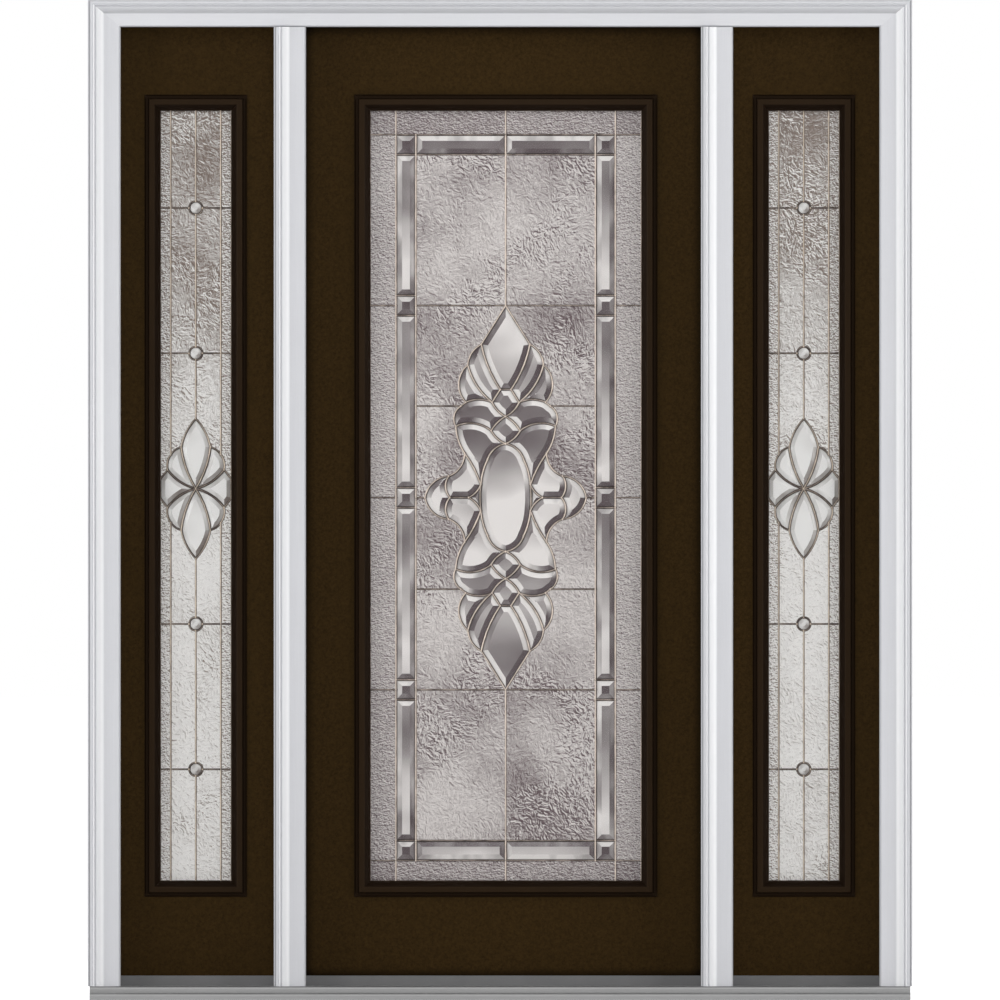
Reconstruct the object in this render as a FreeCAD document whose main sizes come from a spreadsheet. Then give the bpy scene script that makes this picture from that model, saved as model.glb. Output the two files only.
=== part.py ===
import FreeCAD, Part
import math
import os
import re
import Sketcher
from FreeCAD import Placement, Rotation, Vector

# A prehung entry door with two fixed sidelights, in millimetres.
# X runs to the right as seen from outside, Y runs from outside to inside, Z is up.
# The origin is under the sill, halfway across the unit, in the plane of the wall's outer face.

# Driving dimensions, written once here and read everywhere from the sheet.
SIZES = {
    # Layout across and up the front
    "unit_rise": 2110,
    "casing_width": 69,
    "head_casing_width": 57,
    "cover_width": 67.6,
    "left_bay": 323.4,
    "door_bay": 833.4,
    "right_bay": 308.7,
    "cover_lap": 2,
    # Casing profile
    "casing_depth": 32,
    "casing_flat_depth": 16,
    "moulding_share": 0.51,
    "back_groove_width": 6,
    "back_groove_depth": 1.5,
    # Jambs
    "jamb_depth": 116,
    "jamb_thickness": 31.8,
    "stop_width": 12.7,
    # Sill
    "sill_nose": 52,
    "sill_step": 38,
    "sill_nose_rise": 15,
    "sill_rise": 29.5,
    "sill_round": 6,
    "sill_inset": 4,
    "tread_sheet": 2,
    "tread_groove_width": 3,
    "tread_groove_depth": 0.8,
    "tread_groove_pitch": 9,
    "cap_reach": 12.5,
    "cap_top": 50.6,
    "cap_saddle": 40,
    "dam_width": 8,
    # Slabs
    "slab_thickness": 44.5,
    "door_face_gap": 9,
    "hinge_gap": 5,
    "lock_gap": 5.3,
    "head_gap": 5,
    "lock_bevel_angle": 3,
    "fixed_gap": 1.5,
    # Lites
    "lite_centre": 1064,
    "door_lite_shift": 5,
    "side_lite_shift": -4,
    "glass_height": 1627,
    "door_glass_width": 572,
    "side_glass_width": 149,
    "lite_frame_width": 33.5,
    "lite_frame_band": 10,
    "lite_groove_width": 8.4,
    "lite_band_width": 12.6,
    "lite_lip_width": 3.5,
    "lite_cut_margin": 15,
    "glass_bite": 12,
    "unit_thickness": 25.4,
    "pane_thickness": 3,
    "spacer_width": 8,
    # Leaded panel
    "came_width": 5,
    "came_depth": 7,
    "came_rim": 7,
    "texture_glass": 4,
    "bevel_glass": 6,
    "bevel_edge": 4,
    "bevel_width": 11,
    "bevel_share": 0.46,
    "margin_width": 54,
    "margin_height": 46.5,
    "strip_width": 42.3,
    "cluster_side_gap": 19.2,
    "cluster_height": 812,
    "design_rise": -4,
    "side_margin": 21.6,
    "side_rail": 286,
    "side_outer_rail": 593,
    "side_cluster_height": 296.6,
    "side_design_rise": 15,
    "jewel_radius": 14.3,
    "jewel_share": 0.42,
    # Hinges
    "hinge_height": 102,
    "hinge_top_inset": 178,
    "hinge_bottom_inset": 279,
    "leaf_width": 32,
    "leaf_thickness": 2.4,
    "knuckle_radius": 6.4,
    "knuckle_standoff": 7.5,
    "knuckle_gap": 0.3,
    "pin_radius": 3,
    "pin_fit": 0.05,
    "pin_head_radius": 4.5,
    "pin_head_height": 3,
    # Seals
    "seal_thickness": 4,
    "seal_width": 11,
    "sweep_depth": 28,
    "sweep_rise": 5.4,
    "sweep_inset": 6,
}

doc = FreeCAD.newDocument("door_with_sidelights")
sheet = doc.addObject("Spreadsheet::Sheet", "sizes")
for row, (alias, value) in enumerate(SIZES.items(), start=1):
    sheet.set(f"A{row}", alias)
    sheet.set(f"B{row}", str(value))
    sheet.setAlias(f"B{row}", alias)
doc.recompute()


def bound(expression):
    """The expression with each size's name pointing at the sheet."""
    return re.sub(r"[a-z_]+", lambda word: "sizes." + word[0] if word[0] in SIZES else word[0], expression)


def size(expression):
    """The number that an expression over the sheet gives."""
    return float(sheet.evalExpression(re.sub(r"sizes\.", "", bound(expression))))


# Places across the unit, from the left casing's outer edge to the right one's
unit_width = "(2 * casing_width + 2 * cover_width + left_bay + door_bay + right_bay)"
left_edge = f"(-{unit_width} / 2)"
left_bay_start = f"({left_edge} + casing_width)"
left_bay_end = f"({left_bay_start} + left_bay)"
door_bay_start = f"({left_bay_end} + cover_width)"
door_bay_end = f"({door_bay_start} + door_bay)"
right_bay_start = f"({door_bay_end} + cover_width)"
right_bay_end = f"({right_bay_start} + right_bay)"
right_edge = f"({right_bay_end} + casing_width)"

# Places up the unit
head_stop = "(unit_rise - head_casing_width + cover_lap)"
head_leg = f"({head_stop} + stop_width)"
head_top = f"({head_stop} + jamb_thickness)"

# Places from outside to inside
stop_depth = "(jamb_depth - slab_thickness - door_face_gap)"
door_face = "(jamb_depth - slab_thickness)"

# The slabs' edges
hinge_leg = f"({door_bay_start} - cover_lap - stop_width)"
lock_leg = f"({door_bay_end} + cover_lap + stop_width)"
door_left = f"({hinge_leg} + hinge_gap)"
door_right = f"({lock_leg} - lock_gap)"
door_top = f"({head_leg} - head_gap)"
fixed_top = f"({head_leg} - fixed_gap)"


def sketch_on(body, role, loops, start, name):
    """A sketch parallel to an origin plane, its corners placed by the sheet.

    A corner is (across, up) or (across, up, radius), the radius being that of an
    arc to the next corner that bulges to the left of the way there.
    """
    sketch = body.newObject("Sketcher::SketchObject", name)
    plane = next(item for item in body.Origin.OriginFeatures if item.Role == role)
    sketch.AttachmentSupport = (plane, [""])
    sketch.MapMode = "FlatFace"
    side = "-" if role == "XZ_Plane" else ""
    sketch.setExpression("AttachmentOffset.Base.z", bound(f"{side}({start})"))
    for corners in loops:
        first = sketch.GeometryCount
        places = [Vector(size(corner[0]), size(corner[1]), 0) for corner in corners]
        for number, corner in enumerate(corners):
            here, there = places[number], places[(number + 1) % len(corners)]
            if len(corner) == 2:
                sketch.addGeometry(Part.LineSegment(here, there), False)
                continue
            chord = there - here
            radius = size(corner[2])
            rise = radius - math.sqrt(radius ** 2 - (chord.Length / 2) ** 2)
            outward = Vector(-chord.y, chord.x, 0).normalize()
            middle = here + chord * 0.5 + outward * rise
            sketch.addGeometry(Part.Arc(here, middle, there), False)
        for number, corner in enumerate(corners):
            line = first + number
            following = first + (number + 1) % len(corners)
            arc = sketch.Geometry[line].TypeId == "Part::GeomArcOfCircle"
            ends = (arc_ends(sketch, line, places[number]) if arc else (1, 2))
            next_arc = sketch.Geometry[following].TypeId == "Part::GeomArcOfCircle"
            next_place = places[(number + 1) % len(corners)]
            next_ends = (arc_ends(sketch, following, next_place) if next_arc else (1, 2))
            sketch.addConstraint(Sketcher.Constraint("Coincident", line, ends[1], following, next_ends[0]))
            for kind, value, text in (("DistanceX", places[number].x, corner[0]),
                                      ("DistanceY", places[number].y, corner[1])):
                rule = sketch.addConstraint(Sketcher.Constraint(kind, -1, 1, line, ends[0], value))
                sketch.setExpression(f"Constraints[{rule}]", bound(text))
            if arc:
                rule = sketch.addConstraint(Sketcher.Constraint("Radius", line, size(corner[2])))
                sketch.setExpression(f"Constraints[{rule}]", bound(corner[2]))
    return sketch


def arc_ends(sketch, number, start):
    """Which end of an arc is its first and which its last, as the outline runs."""
    at_start = (sketch.getPoint(number, 1) - start).Length < 1e-6
    return (1, 2) if at_start else (2, 1)


def new_body(label):
    body = doc.addObject("PartDesign::Body", label)
    body.Label = label
    return body


def pad(body, role, loops, start, length, name="outline"):
    """A prism that grows from start along the plane's own axis, +X, +Y or +Z."""
    sketch = sketch_on(body, role, loops, start, name)
    feature = body.newObject("PartDesign::Pad", "pad")
    feature.Profile = sketch
    feature.Reversed = role == "XZ_Plane"
    feature.setExpression("Length", bound(length))
    doc.recompute()
    return feature


def pocket(body, role, loops, start, length, name="cut_outline"):
    """A cut that grows from start along the plane's own axis, checked to remove material."""
    before = body.Shape.Volume
    sketch = sketch_on(body, role, loops, start, name)
    feature = body.newObject("PartDesign::Pocket", "pocket")
    feature.Profile = sketch
    feature.Reversed = role != "XZ_Plane"
    feature.setExpression("Length", bound(length))
    doc.recompute()
    if not body.Shape.Volume < before - 1:
        raise RuntimeError(f"{body.Label}: a pocket removed nothing")
    return feature


def oblong(left, bottom, right, top):
    return [(left, bottom), (right, bottom), (right, top), (left, top)]


def add_box(label, x, y, z, length, width, height):
    box = doc.addObject("Part::Box", label)
    box.Label = label
    for name, text in (("Length", length), ("Width", width), ("Height", height),
                       ("Placement.Base.x", x), ("Placement.Base.y", y), ("Placement.Base.z", z)):
        box.setExpression(name, bound(text))
    return box


def add_cylinder(label, x, y, z, radius, height):
    cylinder = doc.addObject("Part::Cylinder", label)
    cylinder.Label = label
    for name, text in (("Radius", radius), ("Height", height),
                       ("Placement.Base.x", x), ("Placement.Base.y", y), ("Placement.Base.z", z)):
        cylinder.setExpression(name, bound(text))
    return cylinder


def add_union(label, shapes):
    union = doc.addObject("Part::MultiFuse", label)
    union.Label = label
    union.Shapes = shapes
    return union


def add_cut(label, base, tool):
    cut = doc.addObject("Part::Cut", label)
    cut.Label = label
    cut.Base = base
    cut.Tool = tool
    return cut


# Jambs and mullions

def trim_under_head(upright):
    """The upright's stop ends under the head's stop, and its leg under the head's leg."""
    beyond = "(jamb_thickness * 2)"
    notch = oblong("0", head_stop, stop_depth, f"{head_leg} + stop_width")
    pocket(upright, "YZ_Plane", [notch], f"{left_edge} - {beyond}", f"{unit_width} + 2 * {beyond}")


def make_side_jamb(label, stop_face, outward):
    """A rabbeted side jamb whose back lies a jamb's thickness outward of its stop."""
    back = f"({stop_face} {outward} jamb_thickness)"
    leg = f"({stop_face} {outward} stop_width)"
    body = new_body(label)
    profile = [(back, "0"), (stop_face, "0"), (stop_face, stop_depth),
               (leg, stop_depth), (leg, "jamb_depth"), (back, "jamb_depth")]
    pad(body, "XY_Plane", [profile], "0", head_leg)
    trim_under_head(body)
    return body


def make_mullion(label, bay_end, next_bay_start):
    """Two jambs back to back, rabbeted for the slab on either side."""
    left, right = f"({bay_end} + cover_lap)", f"({next_bay_start} - cover_lap)"
    left_leg, right_leg = f"({left} + stop_width)", f"({right} - stop_width)"
    body = new_body(label)
    profile = [(left, "0"), (right, "0"), (right, stop_depth), (right_leg, stop_depth),
               (right_leg, "jamb_depth"), (left_leg, "jamb_depth"), (left_leg, stop_depth),
               (left, stop_depth)]
    pad(body, "XY_Plane", [profile], "sill_rise", f"{head_leg} - sill_rise")
    trim_under_head(body)
    return body


def make_head_jamb():
    body = new_body("head_jamb")
    profile = [("0", head_stop), (stop_depth, head_stop), (stop_depth, head_leg),
               ("jamb_depth", head_leg), ("jamb_depth", head_top), ("0", head_top)]
    start = f"({left_bay_start} - cover_lap - jamb_thickness)"
    end = f"({right_bay_end} + cover_lap + jamb_thickness)"
    pad(body, "YZ_Plane", [profile], start, f"{end} - {start}")


# Casings and mullion covers

def casing_profile(outer, inward, width, upright, groove=None):
    """The moulded board's section, from its thick outer edge to its thin eased edge.

    The outer edge is outer, and inward is + or - for the way to the opening. The
    section lies in the plan for an upright board, and in the side view for the head.
    A board that bridges wall and jamb has a groove in its back, groove in from its
    outer edge, so that it bears on either side of the joint.
    """
    def at(share, depth, radius=None):
        across = f"({outer} {inward} ({share}) * {width})"
        out = f"(-({depth}))"
        corner = (across, out) if upright else (out, across)
        return corner if radius is None else corner + (radius,)

    moulding = "moulding_share"
    face, flat = "casing_depth", "casing_flat_depth"
    relief = []
    if groove:
        near, far = (f"({groove} {way} back_groove_width / 2) / {width}" for way in "-+")
        relief = [at(far, "0"), at(far, "back_groove_depth"), at(near, "back_groove_depth"), at(near, "0")]
    return [
        at("0", "0"),
        at("0", f"{face} - 1.5"),
        at("0.02", face),
        at("0.05", f"{face} - 2.5"),
        at(f"0.30 * {moulding}", f"{face} - 4"),
        at(f"0.34 * {moulding}", f"{face} - 2"),
        at(f"0.42 * {moulding}", f"{face} - 2"),
        at(f"0.46 * {moulding}", f"{face} - 6"),
        at(f"0.54 * {moulding}", f"{face} - 5"),
        at(f"0.80 * {moulding}", f"{flat} + 5"),
        at(f"{moulding}", flat),
        at("0.94", flat),
        at("1", f"{flat} - 6"),
        at("1", "0"),
    ] + relief


def make_casing(label, outer, inward):
    """A side casing from the sill up to the mitre."""
    body = new_body(label)
    joint = "(casing_width - cover_lap - jamb_thickness)"
    profile = casing_profile(outer, inward, "casing_width", True, joint)
    pad(body, "XY_Plane", [profile], "sill_rise", "unit_rise - sill_rise")
    inner = f"({outer} {inward} casing_width)"
    mitre = [(outer, "unit_rise"), (inner, "unit_rise - head_casing_width"),
             (inner, "unit_rise + casing_width"), (outer, "unit_rise + casing_width")]
    pocket(body, "XZ_Plane", [mitre], "-2 * casing_depth", "3 * casing_depth", "mitre")


def make_head_casing():
    body = new_body("head_casing")
    profile = casing_profile("unit_rise", "-", "head_casing_width", False, f"(unit_rise - {head_top})")
    pad(body, "YZ_Plane", [profile], left_edge, unit_width)
    below = "(unit_rise - head_casing_width)"
    left = [(left_edge, "unit_rise"), (left_edge, below), (left_bay_start, below)]
    right = [(right_edge, "unit_rise"), (right_bay_end, below), (right_edge, below)]
    pocket(body, "XZ_Plane", [left, right], "-2 * casing_depth", "3 * casing_depth", "mitres")


def make_mullion_cover(label, start):
    body = new_body(label)
    profile = casing_profile(start, "+", "cover_width", True)
    length = "unit_rise - head_casing_width - sill_rise"
    pad(body, "XY_Plane", [profile], "sill_rise", length)


# Sill

def notch_for_jambs(body):
    """The sill's ends are cut round the side jambs and keep their horns in front."""
    for stop_face, outward in ((f"({left_bay_start} - cover_lap)", "-"),
                               (f"({right_bay_end} + cover_lap)", "+")):
        leg = f"({stop_face} {outward} stop_width)"
        beyond = f"({stop_face} {outward} (jamb_thickness + casing_width))"
        notch = [(beyond, "0"), (stop_face, "0"), (stop_face, stop_depth), (leg, stop_depth),
                 (leg, "jamb_depth + sill_nose"), (beyond, "jamb_depth + sill_nose")]
        pocket(body, "XY_Plane", [notch], "-sill_rise", "3 * sill_rise", "notch")


def make_sill():
    """The bent aluminium tread: two rounded nosings and a grooved top."""
    sheet_back, rounding = "tread_sheet", "sill_round"
    outside = [
        ("-sill_nose", "0"),
        ("-sill_nose", f"sill_nose_rise - {rounding}", rounding),
        (f"-sill_nose + {rounding}", "sill_nose_rise"),
        ("-sill_step", "sill_nose_rise"),
        ("-sill_step", f"sill_rise - {rounding}", rounding),
        (f"-sill_step + {rounding}", "sill_rise"),
    ]
    grooves = []
    for number in range(4):
        near = f"({number} * tread_groove_pitch + tread_groove_pitch)"
        far = f"({near} + tread_groove_width)"
        floor = "sill_rise - tread_groove_depth"
        grooves += [(near, "sill_rise"), (near, floor), (far, floor), (far, "sill_rise")]
    inside = [
        ("jamb_depth", "sill_rise"),
        ("jamb_depth", f"sill_rise - {sheet_back}"),
        (f"-sill_step + {sheet_back} + {rounding}", f"sill_rise - {sheet_back}"),
        (f"-sill_step + {sheet_back}", f"sill_rise - {sheet_back} - {rounding}"),
        (f"-sill_step + {sheet_back}", f"sill_nose_rise - {sheet_back}"),
        (f"-sill_nose + {sheet_back} + {rounding}", f"sill_nose_rise - {sheet_back}"),
        (f"-sill_nose + {sheet_back}", f"sill_nose_rise - {sheet_back} - {rounding}"),
        (f"-sill_nose + {sheet_back}", "0"),
    ]
    body = new_body("sill")
    start = f"{left_edge} + sill_inset"
    length = f"{unit_width} - 2 * sill_inset"
    pad(body, "YZ_Plane", [outside + grooves + inside], start, length)
    notch_for_jambs(body)

    core = new_body("sill_core")
    pad(core, "YZ_Plane", [inside[1:] + [("jamb_depth", "0")]], start, length)
    notch_for_jambs(core)


def make_cap(label, bay_start, bay_end, profile):
    """A board across one bay on the sill, its front corners cut round the stops."""
    left, right = f"({bay_start} - cover_lap)", f"({bay_end} + cover_lap)"
    left_leg, right_leg = f"({left} - stop_width)", f"({right} + stop_width)"
    body = new_body(label)
    pad(body, "YZ_Plane", [profile], left_leg, f"{right_leg} - {left_leg}")
    corners = [oblong(left_leg, "0", left, stop_depth), oblong(right, "0", right_leg, stop_depth)]
    pocket(body, "XY_Plane", corners, "0", "2 * cap_top", "stop_corners")


def make_caps():
    front = f"({stop_depth} - cap_reach)"
    dam_back = f"{front} + dam_width"
    threshold = [(front, "sill_rise"), ("jamb_depth", "sill_rise"),
                 ("jamb_depth", "cap_saddle - 5"), ("jamb_depth - 12", "cap_saddle"),
                 (f"{dam_back} + 4", "cap_saddle"), (dam_back, "cap_saddle + 3"),
                 (dam_back, "cap_top"), (front, "cap_top")]
    make_cap("threshold_cap", door_bay_start, door_bay_end, threshold)
    plain = oblong(front, "sill_rise", "jamb_depth", "cap_top")
    make_cap("left_sidelight_cap", left_bay_start, left_bay_end, plain)
    make_cap("right_sidelight_cap", right_bay_start, right_bay_end, plain)


# Slabs and lites

def cut_lite(body, centre, glass_width, face):
    """The opening for the sealed glass unit, through the slab."""
    half = f"({glass_width} / 2 + lite_cut_margin)"
    half_height = "(glass_height / 2 + lite_cut_margin)"
    opening = oblong(f"{centre} - {half}", f"lite_centre - {half_height}",
                     f"{centre} + {half}", f"lite_centre + {half_height}")
    pocket(body, "XZ_Plane", [opening], face, "slab_thickness", "lite_opening")


def make_fixed_slab(label, bay_start, bay_end, centre):
    left = f"({bay_start} - cover_lap - stop_width + fixed_gap)"
    right = f"({bay_end} + cover_lap + stop_width - fixed_gap)"
    body = new_body(label)
    outline = oblong(left, "cap_top", right, fixed_top)
    pad(body, "XZ_Plane", [outline], stop_depth, "slab_thickness")
    cut_lite(body, centre, "side_glass_width", stop_depth)


def hinge_bottoms():
    """The heights of the three hinges' lower ends."""
    upper = f"({door_top} - hinge_top_inset - hinge_height)"
    lower = "(cap_top + hinge_bottom_inset)"
    return [lower, f"(({upper} + {lower}) / 2)", upper]


def mortises():
    """The leaves' outlines in the side view, one for each hinge."""
    front = "jamb_depth - leaf_width"
    return [oblong(front, low, "jamb_depth", f"{low} + hinge_height") for low in hinge_bottoms()]


def make_door_slab(centre):
    bevelled = f"({door_right} - slab_thickness * tan(lock_bevel_angle))"
    profile = [(door_left, door_face), (bevelled, door_face),
               (door_right, "jamb_depth"), (door_left, "jamb_depth")]
    body = new_body("door_slab")
    pad(body, "XY_Plane", [profile], "cap_top", f"{door_top} - cap_top")
    cut_lite(body, centre, "door_glass_width", door_face)
    pocket(body, "YZ_Plane", mortises(), door_left, "leaf_thickness", "mortises")


def make_lite_frame(label, centre, glass_width, face, outward):
    """A mitred moulding round one face of a lite, swept round the glass."""
    def at(across, out):
        return (f"({face} {outward} ({out}))", f"({bottom} + {across})")

    half_width = f"({glass_width} / 2 + lite_frame_width)"
    left, right = f"({centre} - {half_width})", f"({centre} + {half_width})"
    half_height = "(glass_height / 2 + lite_frame_width)"
    bottom, top = f"(lite_centre - {half_height})", f"(lite_centre + {half_height})"
    body = new_body(label)
    path = sketch_on(body, "XZ_Plane", [oblong(left, bottom, right, top)], face, "path")
    glass = "((slab_thickness - unit_thickness) / 2)"
    tuck = "(lite_frame_width - lite_cut_margin + 1)"
    band_end = "(lite_groove_width + lite_band_width)"
    slope_end = "(lite_frame_width - lite_lip_width)"
    band = "lite_frame_band"
    profile = [
        at("0", "0"), at("0", "2"), at("1.4", "2.4"), at("2.2", "1"),
        at("lite_groove_width - 1", "1"),
        at("lite_groove_width", f"{band} - 1.5"), at("lite_groove_width + 1.2", band),
        at(f"{band_end} - 1", band), at(band_end, f"{band} - 0.8"),
        at(slope_end, "1.5"), at(f"{slope_end} + 0.6", "-1.5"), at("lite_frame_width - 0.8", "-2.5"),
        at("lite_frame_width", "-3.5"), at("lite_frame_width", f"-{glass}"),
        at(tuck, f"-{glass}"), at(tuck, "0"),
    ]
    section = sketch_on(body, "YZ_Plane", [profile], left, "section")
    doc.recompute()
    pipe = body.newObject("PartDesign::AdditivePipe", "moulding")
    pipe.Profile = section
    pipe.Spine = (path, ["Edge1", "Edge2", "Edge3", "Edge4"])
    pipe.Transition = "Right corner"
    doc.recompute()


def make_glass_unit(label, centre, glass_width, face):
    """The sealed unit's two clear panes and the spacer bar between them."""
    half_width = f"({glass_width} / 2 + glass_bite)"
    half_height = "(glass_height / 2 + glass_bite)"
    left, bottom = f"({centre} - {half_width})", f"(lite_centre - {half_height})"
    front = f"({face} + (slab_thickness - unit_thickness) / 2)"
    back = f"({front} + unit_thickness - pane_thickness)"
    panes = [add_box(f"{label}_{side}_pane", left, place, bottom, f"2 * {half_width}",
                     "pane_thickness", f"2 * {half_height}")
             for side, place in (("outer", front), ("inner", back))]
    add_union(f"{label}_panes", panes)

    spacer = new_body(f"{label}_spacer")
    outer = oblong(left, bottom, f"{left} + 2 * {half_width}", f"{bottom} + 2 * {half_height}")
    inner = oblong(f"{left} + spacer_width", f"{bottom} + spacer_width",
                   f"{left} + 2 * {half_width} - spacer_width",
                   f"{bottom} + 2 * {half_height} - spacer_width")
    pad(spacer, "XZ_Plane", [outer, inner], f"{front} + pane_thickness",
        "unit_thickness - 2 * pane_thickness")


# Leaded panels
# The design is drawn as the lead lines of one quarter, in millimetres from the design's centre.
# A line runs straight through two places, and as an arc through three.

DOOR_LINES = {
    "finial_side": [(0, 406), (51.5, 324)],
    "finial_waist": [(51.5, 324), (37, 276), (11.5, 228.5)],
    "throat": [(-11.5, 228.5), (11.5, 228.5)],
    "petal_top": [(51.5, 324), (71, 307), (80, 280.5)],
    "petal_rib": [(80, 280.5), (62, 238), (28.5, 201.5)],
    "collar": [(11.5, 228.5), (28.5, 201.5)],
    "leaf_outside": [(80, 280.5), (99, 245), (84.5, 201.5)],
    "leaf_foot": [(84.5, 201.5), (57, 207.5), (28.5, 201.5)],
    "upper_knot": [(28.5, 201.5), (17, 184), (0, 171.5)],
    "lower_knot": [(0, 171.5), (17, 159), (30.5, 141.5)],
    "jewel_foot": [(30.5, 141.5), (18, 125), (0, 114)],
    "lobe_shoulder": [(84.5, 201.5), (94.5, 193.5)],
    "lobe_outside": [(94.5, 193.5), (109, 173), (105.5, 151)],
    "lobe_seam": [(30.5, 141.5), (67.5, 157), (105.5, 151)],
    "fan_outside": [(105.5, 151), (100, 121), (86.5, 93.5)],
    "fan_foot": [(86.5, 93.5), (67.5, 63), (52.5, 27.5)],
    "oval_crown": [(0, 114), (22.5, 104), (38, 81)],
    "oval_side": [(38, 81), (47.5, 56), (52.5, 27.5)],
    "oval_waist": [(52.5, 27.5), (54, 0), (52.5, -27.5)],
    "drop_top": [(86.5, 93.5), (96.5, 63.5), (120.5, 45.5)],
    "drop_side": [(120.5, 45.5), (127, 23), (118, 0)],
    "drop_seam": [(118, 0), (78, 0)],
    "drop_foot": [(78, 0), (62.5, 11.5), (52.5, 27.5)],
    "wing_top": [(120.5, 45.5), (148, 36), (170.5, 0)],
}

# Each piece names the lines round it in the first quarter, those mirrored across the upright
# axis, those mirrored across the level one, and the quarters in which the piece repeats.
DOOR_PIECES = {
    "finial": (["finial_side", "finial_waist", "throat"], ["finial_side", "finial_waist"], [], "ends"),
    "petal": (["finial_waist", "petal_top", "petal_rib", "collar"], [], [], "quarters"),
    "leaf": (["petal_rib", "leaf_outside", "leaf_foot"], [], [], "quarters"),
    "upper_jewel": (["throat", "collar", "upper_knot"], ["collar", "upper_knot"], [], "ends"),
    "lobe": (["leaf_foot", "lobe_shoulder", "lobe_outside", "lobe_seam", "lower_knot",
              "upper_knot"], [], [], "quarters"),
    "lower_jewel": (["lower_knot", "jewel_foot"], ["lower_knot", "jewel_foot"], [], "ends"),
    "fan": (["jewel_foot", "lobe_seam", "fan_outside", "fan_foot", "oval_side", "oval_crown"],
            [], [], "quarters"),
    "drop": (["fan_foot", "drop_top", "drop_side", "drop_seam", "drop_foot"], [], [], "quarters"),
    "wing": (["wing_top", "drop_side"], [], ["wing_top", "drop_side"], "sides"),
    "gusset": (["drop_foot", "oval_waist"], [], ["drop_foot"], "sides"),
}

SIDE_LINES = {
    "petal_top": [(0, 148.3), (19, 122), (31, 88)],
    "petal_foot": [(31, 88), (20, 41), (0, 0)],
    "lobe_shoulder": [(31, 88), (43, 82.5), (52.9, 72)],
    "lobe_outside": [(52.9, 72), (60, 57), (60, 40)],
    "lobe_foot": [(60, 40), (34, 15), (0, 0)],
}

MIRRORS = {
    "quarters": [(1, 1), (-1, 1), (1, -1), (-1, -1)],
    "ends": [(1, 1), (1, -1)],
    "sides": [(1, 1), (-1, 1)],
}

# The turn, in radians, that one chord of a cut glass edge takes up
CHORD_TURN = 0.5


def lead_line(places):
    """An edge in the panel's plane, straight through two places or an arc through three."""
    points = [Vector(across, 0, up) for across, up in places]
    if len(points) == 2:
        return Part.LineSegment(*points).toShape()
    return Part.Arc(*points).toShape()


def straight(places, across=1, up=1):
    """The straight edges from each place to the next, in one of the four quarters."""
    placed = [(across * x, up * z) for x, z in places]
    return [lead_line(pair) for pair in zip(placed, placed[1:])]


def cell_of(edges):
    return Part.Face(Part.Wire(Part.__sortEdges__(edges)))


def rectangle(left, bottom, right, top):
    return cell_of(straight([(left, bottom), (right, bottom), (right, top), (left, top),
                             (left, bottom)]))


def grid(columns, rows):
    return [rectangle(left, bottom, right, top)
            for left, right in zip(columns, columns[1:]) for bottom, top in zip(rows, rows[1:])]


def inset(cell, distance):
    """The cell's outline drawn in by a distance all round."""
    return cell.makeOffset2D(-distance).OuterWire


def chord_counts(wire):
    """How many chords each edge is cut in: one where it is straight."""
    counts = []
    for edge in wire.OrderedEdges:
        arc = edge.Curve.TypeId == "Part::GeomCircle"
        counts.append(math.ceil(edge.Length / edge.Curve.Radius / CHORD_TURN) if arc else 1)
    return counts


def corners_of(wire, counts):
    """The wire's corners, with each edge cut in its number of chords."""
    corners = []
    for edge, count in zip(wire.OrderedEdges, counts):
        along = edge.discretize(count + 1)
        if edge.Orientation == "Reversed":
            along.reverse()
        corners += along[:-1]
    return corners


def polygon(corners):
    return Part.Face(Part.makePolygon(corners + corners[:1]))


def solid_of(faces):
    solid = Part.Solid(Part.Shell(faces))
    if solid.Volume < 0:
        solid.reverse()
    return solid


def glass_outline(cell):
    """The corners of a cell's glass, half a came inside the cell's lead lines."""
    outline = inset(cell, size("came_width / 2"))
    return corners_of(outline, chord_counts(outline))


def flat_glass(cell):
    """A flat pane centred on the panel's plane."""
    thickness = size("texture_glass")
    front = polygon(glass_outline(cell)).translated(Vector(0, -thickness / 2, 0))
    return front.extrude(Vector(0, thickness, 0))


def tiers(rings):
    """A solid with a flat face at the first and last ring, and sloping sides between them."""
    faces = [polygon(rings[0]), polygon(rings[-1])]
    for lower, upper in zip(rings, rings[1:]):
        for here in range(len(lower)):
            there = (here + 1) % len(lower)
            faces.append(polygon([lower[here], lower[there], upper[there]]))
            faces.append(polygon([lower[here], upper[there], upper[here]]))
    return solid_of(faces).removeSplitter()


def bevelled_glass(cell):
    """A bevelled piece: a flat back, a square edge, and a slope all round up to its table."""
    half_came, glass = size("came_width / 2"), size("bevel_glass")
    outline = inset(cell, half_came)
    widest = size("bevel_share") * Part.Face(outline).Area / outline.Length
    table = inset(cell, half_came + min(size("bevel_width"), widest))
    counts = chord_counts(outline)
    rim, top = corners_of(outline, counts), corners_of(table, counts)
    back, front = Vector(0, glass / 2, 0), Vector(0, -glass / 2, 0)
    shoulder = back - Vector(0, size("bevel_edge"), 0)
    return tiers([[corner + back for corner in rim], [corner + shoulder for corner in rim],
                  [corner + front for corner in top]])


def came_net(outer, cells):
    """The lead came: the whole panel, less the glass of every cell."""
    holes = [Part.makePolygon(corners + corners[:1]) for corners in map(glass_outline, cells)]
    net = Part.makeFace([outer.OuterWire] + holes, "Part::FaceMakerBullseye")
    depth = size("came_depth")
    return net.translated(Vector(0, -depth / 2, 0)).extrude(Vector(0, depth, 0))


def add_panel(label, shapes, centre, height, face):
    """The panel's nodes at their place in the middle of the sealed unit."""
    middle = size(f"{face} + slab_thickness / 2")
    for name, shape in shapes.items():
        feature = doc.addObject("Part::Feature", f"{label}_{name}")
        feature.Label = f"{label}_{name}"
        feature.Shape = shape
        feature.Placement = Placement(Vector(size(centre), middle, size(height)), Rotation())


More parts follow.
